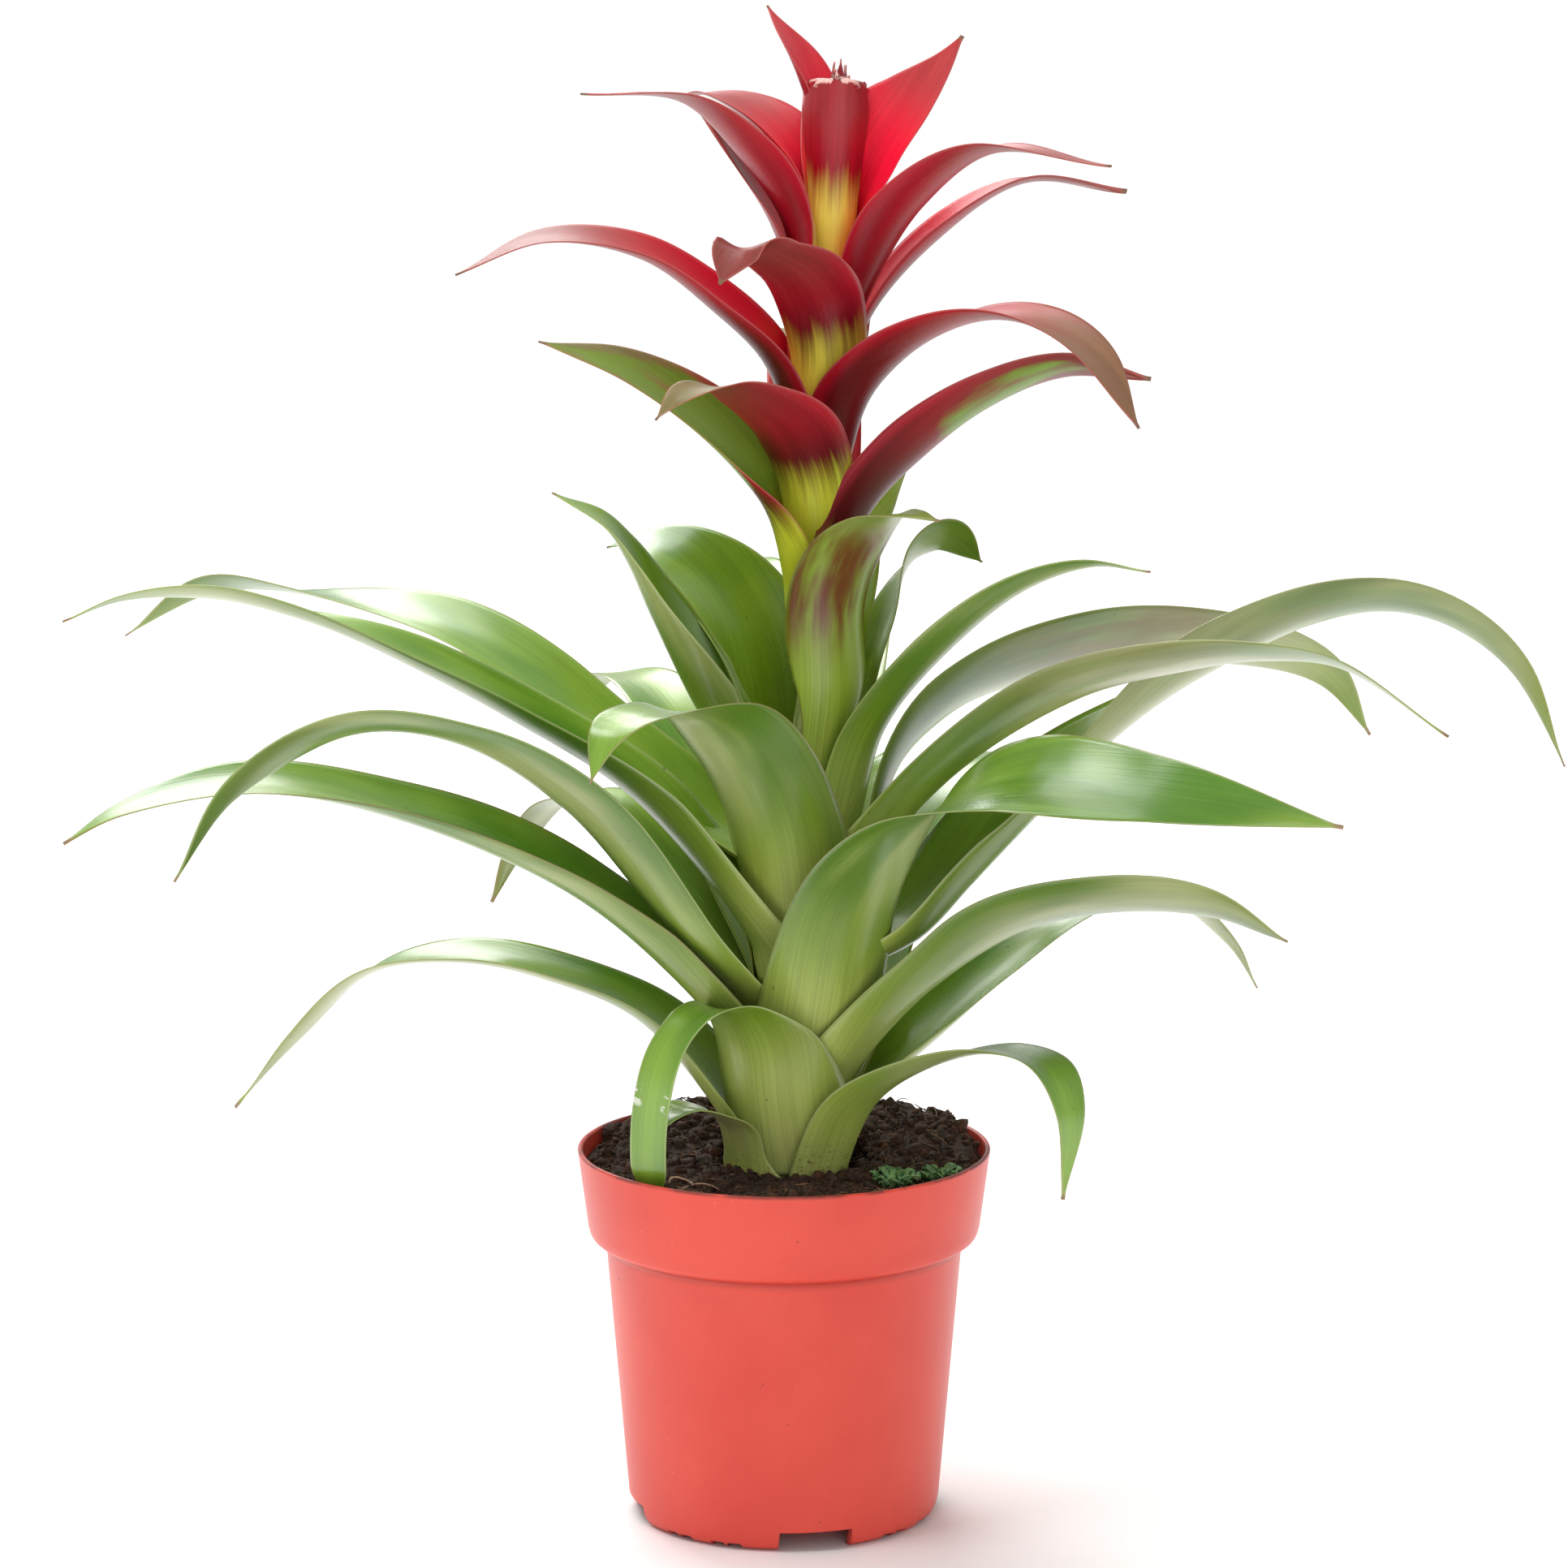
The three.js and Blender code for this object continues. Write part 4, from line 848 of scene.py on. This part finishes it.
# Bracts: the flower spike's own leaves, shorter and red, held round the stalk in the same way.
# Each is yellow-green at its base, where streaks of red run down into it, and the upper ones
# stand up round the flower head as a cup.
RED_BRACT = {**GREEN_LEAF, "slope": 0.15, "sheath": (0.016, 0.016), "blade": 0.029, "channel": 0.026,
             "roll_to": 0.5}
BRACTS = [
    (192, 0.034, [(0.017, 0.299), (0.034, 0.320), (0.058, 0.337), (0.083, 0.345)],
     {"sheath": (0.014, 0.016), "blade": 0.034, "roll": -30, "channel": 0.020}),
    (357, 0.028, [(0.013, 0.293), (0.024, 0.308), (0.045, 0.326), (0.068, 0.336), (0.092, 0.333)],
     {"sheath": (0.016, 0.014), "roll": -26, "channel": 0.018, "blade": 0.034}),
    (98, 0.026, [(0.015, 0.304), (0.030, 0.326), (0.054, 0.340), (0.080, 0.336)],
     {"sheath": (0.006, 0.003)}),
    (262, 0.018, [(0.012, 0.303, -0.002), (0.017, 0.312, -0.004), (0.024, 0.3205, -0.007),
      (0.033, 0.3285, -0.0145), (0.043, 0.3345, -0.0245),
      (0.050, 0.3335, -0.034), (0.054, 0.3265, -0.040)],
     {"sheath": (0.014, 0.009), "blade": 0.029, "neck": 0.35, "roll": -6}),
    (322, 0.038, [(0.013, 0.3275), (0.026, 0.341), (0.045, 0.3505), (0.062, 0.3535), (0.078, 0.3515),
      (0.093, 0.344), (0.108, 0.3265)],
     {"slope": 0.08, "sheath": (0.014, 0.012), "blade": 0.031, "roll": -2, "channel": 0.020,
      "fullness": 3.5}),
    (186, 0.038, [(0.018, 0.338), (0.033, 0.353), (0.054, 0.368), (0.082, 0.373), (0.106, 0.363)],
     {"sheath": (0.012, 0.014), "blade": 0.030, "roll": -12, "channel": 0.014}),
    (90, 0.034, [(0.015, 0.346), (0.034, 0.366), (0.056, 0.376), (0.080, 0.370)],
     {"sheath": (0.005, 0.005), "blade": 0.028}),
    (262, 0.022, [(0.012, 0.340, 0.001), (0.015, 0.349, 0.000), (0.020, 0.357, -0.002),
      (0.029, 0.3645, -0.006), (0.038, 0.370, -0.013),
      (0.045, 0.373, -0.020), (0.051, 0.364, -0.024)],
     {"sheath": (0.013, 0.010), "blade": 0.028, "neck": 0.35, "taper": 0.62, "fullness": 3}),
    (13, 0.030, [(0.012, 0.350), (0.030, 0.371), (0.055, 0.387), (0.086, 0.384)],
     {"slope": 0.1, "sheath": (0.004, 0.006), "blade": 0.026, "roll": -6, "neck": 0.6, "channel": 0.012}),
    (330, 0.030, [(0.014, 0.363), (0.026, 0.382), (0.048, 0.398), (0.087, 0.396)],
     {"slope": 0.05, "sheath": (0.005, 0.004), "blade": 0.029, "roll": -6, "neck": 0.5, "channel": 0.012}),
    (172, 0.038, [(0.017, 0.376), (0.027, 0.392), (0.038, 0.407)],
     {"sheath": (0.007, 0.007), "blade": 0.020}),
    (204, 0.034, [(0.014, 0.378), (0.027, 0.396), (0.046, 0.412), (0.078, 0.415)],
     {"sheath": (0.006, 0.003), "roll": 8, "channel": 0.016, "neck": 0.6, "blade": 0.027}),
    (76, 0.028, [(0.014, 0.382), (0.024, 0.400), (0.038, 0.408), (0.054, 0.402)],
     {"sheath": (0.003, 0.006), "blade": 0.026}),
    (150, 0.032, [(0.013, 0.390), (0.0205, 0.4003), (0.030, 0.4073), (0.041, 0.4115), (0.051, 0.4108)],
     {"sheath": (0.006, 0.012), "blade": 0.031, "fullness": 3, "taper": 0.6}),
    (110, 0.022, [(0.009, 0.390), (0.017, 0.405), (0.028, 0.414)],
     {"slope": 0.08, "sheath": (0.003, 0.003), "blade": 0.016, "neck": 0.6}),
    (345, 0.016, [(0.011, 0.384, -0.002), (0.018, 0.399, -0.003), (0.025, 0.410, -0.003),
      (0.031, 0.4205, -0.002), (0.0352, 0.4297, 0.000)],
     {"sheath": (0.003, 0.010), "blade": (0.014, 0.044), "taper": 0.4, "channel": 0.020, "roll": 52,
      "roll_from": 0.1, "roll_to": 0.5}),
    (266, 0.014, [(0.008, 0.392), (0.0095, 0.408), (0.008, 0.418)],
     {"sheath": (0.005, 0.008), "blade": 0.030, "taper": 0.93, "neck": 0.35, "channel": 0.0095,
      "fullness": 6, "torn": 0.0012}),
    (150, 0.020, [(0.0055, 0.400), (0.014, 0.423), (0.024, 0.437)],
     {"slope": 0.05, "sheath": (0.005, 0.004), "blade": 0.024, "channel": 0.012, "neck": 0.8,
      "taper": 0.5}),
]
GREEN_SHARE = {1: 0.95, 2: 0.5, 3: 0.5, 5: 0.15}
GREEN_FOOT = {1: 44, 4: 34, 8: 42, 9: 16, 10: 16, 12: 12, 16: 8, 17: 17}


def bract_material():
    """Bract skin: bright crimson on the upper face with a brownish satin tip, deep maroon outside, yellow-green
    at the base with soft streaks between, and green where a lower bract has not turned red."""
    material, paint = new_material("red_bract_skin")
    grain, fine, broad, u, margin, upper, along, rank, unripe, foot = leaf_pattern(paint)
    streak = grain.stretched(0.55, 0.02, 1).noise(1.0, 3, 0.6)
    outer = rank.smooth(0.3, 0.95).blend(tint(98, 10, 20), tint(190, 4, 36))
    outer = (u.smooth(0.35, 0.6) * 0.55).blend(outer, tint(178, 14, 42))
    outer = (margin.smooth(5, 0.5) * 0.5).blend(outer, tint(200, 12, 44))
    inner = rank.smooth(0.1, 0.8).blend(tint(196, 6, 38), tint(246, 20, 58))
    tip = (u + broad * 0.2).smooth(0.6, 0.95) * rank.smooth(1.5, 0.5)
    satin = rank.smooth(0.12, 0.3).blend(tint(112, 134, 78), tint(118, 66, 56))
    inner = (tip * 0.85).blend(inner, satin)
    outer = (tip * 0.7).blend(outer, tint(116, 56, 50))
    colour = upper.blend(outer, inner)
    above = along - foot
    dark = (above + streak * 16).smooth(34, 12) * (1 - upper)
    colour = (dark * 0.6).blend(colour, tint(82, 14, 18))
    colour = colour.shaded(broad.smooth(0.3, 0.7) * 0.18 + 0.9)
    base = (above + streak * 18).smooth(22, 5)
    yellow = rank.blend(tint(206, 210, 50), tint(246, 242, 104))
    low = (above + streak * 10).smooth(-26, -4).blend(tint(196, 214, 78), yellow)
    patch = grain.stretched(0.07, 0.022, 1).noise(1.0, 3) + unripe * 0.5 - margin.smooth(5, 0.5) * 0.2
    patch = patch - (1 - upper) * u.smooth(0.6, 0.35) * 0.5
    colour = (patch.smooth(0.68, 0.86) * (1 - base)).blend(colour, tint(120, 150, 46))
    veins = grain.stretched(3.4, 0.004, 1).noise(1.0, 2, 0.6)
    colour = colour.shaded(fine.smooth(0.3, 0.7) * 0.14 + 0.92)
    colour = base.blend(colour, low).shaded(1 - veins.smooth(0.46, 0.6) * 0.07)
    rim = margin.smooth(0.5, 0.15)
    colour = (rim * 0.4).blend(colour, tint(200, 110, 100))
    cup = rank.smooth(0.86, 0.88) * rank.smooth(0.93, 0.91)
    dry = (u + fine * 0.03 + cup * 0.008).smooth(0.994, 1.006)
    colour = dry.blend(colour, cup.blend(tint(128, 92, 70), tint(236, 190, 180)))
    roughness = fine * 0.12 + 0.34
    relief = fine * 0.35 + veins * 0.25 + broad * 0.4
    finish_material(material, colour, roughness, relief, 0.0002,
                    Specular_IOR_Level=0.32, Coat_Weight=0.08, Coat_Roughness=0.3)
    return material


bract_skin = bract_material()
for count, (azimuth, rise, way, change) in enumerate(BRACTS):
    node = FIRST_BRACT + (LAST_BRACT - FIRST_BRACT) * count / (len(BRACTS) - 1)
    tone = (count / len(BRACTS), GREEN_SHARE.get(count + 1, 0), GREEN_FOOT.get(count + 1, 28))
    bract = blade_piece(f"bract_{count + 1:02d}", azimuth, node, rise, way, {**RED_BRACT, **change},
                        "bract", tone)
    bract.data.materials.append(bract_skin)

# Flower head: small pointed scales that overlap in a spiral round a short core, each holding a bud.
# They are stiff and waxy, grow on the stem's end and are nearly shut inside the topmost bracts.
HEAD_FOOT, HEAD_TOP, HEAD_RADIUS = 0.3884, 0.4228, 0.003
HEAD_SCALES, SPIRAL_TURN = 11, 137.5
HEAD_SCALE = {**RED_BRACT, "sheath": (0.0016, 0.0016), "blade": 0.0056, "channel": 0.003, "neck": 0.3,
              "taper": 0.35}


def head_scales():
    """The scales' sheets, joined: later ones start higher and stand steeper."""
    joined = [[], [], [], []]
    height = HEAD_TOP - HEAD_FOOT
    total = 0
    for order, part in enumerate(np.linspace(0, 1, HEAD_SCALES)):
        foot = HEAD_FOOT + height * (0.06 + 0.4 * part)
        tip = HEAD_TOP - 0.009 * (1 - part)
        reach = HEAD_RADIUS + 0.0026 - 0.0042 * part
        way = [(HEAD_RADIUS - 0.0009, foot), (HEAD_RADIUS + 0.0005, foot + 0.4 * (tip - foot)),
               (reach, foot + 0.8 * (tip - foot)), (reach - 0.0005 + 0.0008 * (1 - part), tip)]
        rib, length = even_curve(way, 26)
        sheet = blade_sheet(order * SPIRAL_TURN, rib, length, 0.001, HEAD_SCALE, 9)
        for store, values in zip(joined, (sheet[0], sheet[1] + total, *sheet[2:])):
            store.append(values)
        total += len(sheet[0])
    return [np.vstack(store) for store in joined]


def head_core():
    """A short bud-shaped core, turned about Z."""
    rise = np.linspace(0, 1, 24)[:, None]
    angle = np.arange(20) / 20 * 2 * np.pi
    radius = (HEAD_RADIUS - 0.0004) * np.sin(np.pi * (0.3 + 0.7 * rise)) * (1 + 0.06 * np.cos(angle * 5))
    radius[[0, -1]] = 0
    z = HEAD_FOOT + rise * (HEAD_TOP - HEAD_FOOT) * 0.85
    x, y = radius * np.cos(angle), radius * np.sin(angle)
    return leaned(np.stack([x, y, np.broadcast_to(z, x.shape)], axis=-1))


def scale_material():
    """Waxy scales: deep red at the foot, rosy above, with dry, pale and torn-looking ends."""
    material, paint = new_material("flower_scale_skin")
    _, fine, _, u, margin, *_ = leaf_pattern(paint)
    colour = (u + fine * 0.3).smooth(0.3, 0.9).blend(tint(110, 6, 20), tint(150, 16, 36))
    pale = (u + fine * 0.5).smooth(1.15, 1.35) + margin.smooth(0.2, 0.05) * 0.25
    colour = pale.blend(colour, tint(226, 178, 160))
    finish_material(material, colour, fine * 0.2 + 0.35, fine, 0.0001, Coat_Weight=0.2, Coat_Roughness=0.3)
    return material


scale_points, scale_faces, scale_grain, scale_part = head_scales()
flower_head = mesh_piece("flower_scales", scale_points, scale_faces, "flower_head", "flower_head")
put(flower_head, "grain", scale_grain)
put(flower_head, "part", scale_part)
put(flower_head, "tone", np.zeros_like(scale_points))
flower_head.data.materials.append(scale_material())
core_points, core_faces = capped(head_core())
core = mesh_piece("flower_core", core_points, FaceList(core_faces), "flower_head", "flower_head")
core.data.materials.append(bract_skin)
for name in ("grain", "part", "tone"):
    put(core, name, np.zeros_like(core_points))

# Studio: a plain flat white floor, a pale surround, three square soft lights and a broad, weak sky
# light. The camera stands where the photograph was taken from, above the pot and looking slightly down.
CAMERA_PLACE = (0, -1.650, 0.520)
CAMERA_TILT = 10.45
PHOTO_SIZE, FOCAL_PIXELS, FILM_WIDTH = 1932, 7197, 36.0

floor_mesh = bpy.data.meshes.new("floor")
floor_mesh.from_pydata([(-20, -20, 0), (20, -20, 0), (20, 20, 0), (-20, 20, 0)], [], [(0, 1, 2, 3)])
floor = bpy.data.objects.new("floor", floor_mesh)
floor_paint, _ = new_material("pale_floor")
floor_paint.node_tree.nodes["Principled BSDF"].inputs["Base Color"].default_value = (0.9, 0.9, 0.9, 1)
floor_paint.node_tree.nodes["Principled BSDF"].inputs["Roughness"].default_value = 0.9
floor_mesh.materials.append(floor_paint)
bpy.context.scene.collection.objects.link(floor)


def soft_light(name, place, target, size, power):
    """A square soft light that faces a target."""
    data = bpy.data.lights.new(name, "AREA")
    data.size = size
    data.energy = power
    light = bpy.data.objects.new(name, data)
    light.location = place
    aim = np.array(target) - np.array(place)
    flat = np.hypot(aim[0], aim[1])
    light.rotation_euler = (np.pi / 2 + np.arctan2(aim[2], flat), 0, np.arctan2(-aim[0], aim[1]))
    bpy.context.scene.collection.objects.link(light)


soft_light("overhead_left", (-0.9, -0.6, 2.3), (0, 0, 0.2), 0.8, 20)
soft_light("front_low", (0.5, -2.2, 0.7), (0, 0, 0.14), 1.2, 9)
soft_light("behind_above", (-0.5, 1.5, 1.5), (0, 0, 0.25), 1.2, 20)

sky_data = bpy.data.lights.new("skylight", "SUN")
sky_data.energy = 2.2
sky_data.angle = np.radians(50)
sky = bpy.data.objects.new("skylight", sky_data)
sky.rotation_euler = (np.radians(-22), np.radians(-14), 0)
bpy.context.scene.collection.objects.link(sky)

world = bpy.data.worlds.new("pale_surround")
world.use_nodes = True
world.node_tree.nodes["Background"].inputs["Color"].default_value = (1, 1, 1, 1)
world.node_tree.nodes["Background"].inputs["Strength"].default_value = 0.55
bpy.context.scene.world = world
bpy.context.scene.view_settings.view_transform = "Standard"

camera_data = bpy.data.cameras.new("camera")
camera_data.sensor_width = FILM_WIDTH
camera_data.lens = FOCAL_PIXELS / PHOTO_SIZE * FILM_WIDTH
camera = bpy.data.objects.new("camera", camera_data)
camera.location = CAMERA_PLACE
camera.rotation_euler = (np.radians(90 - CAMERA_TILT), 0, 0)
bpy.context.scene.collection.objects.link(camera)
bpy.context.scene.camera = camera
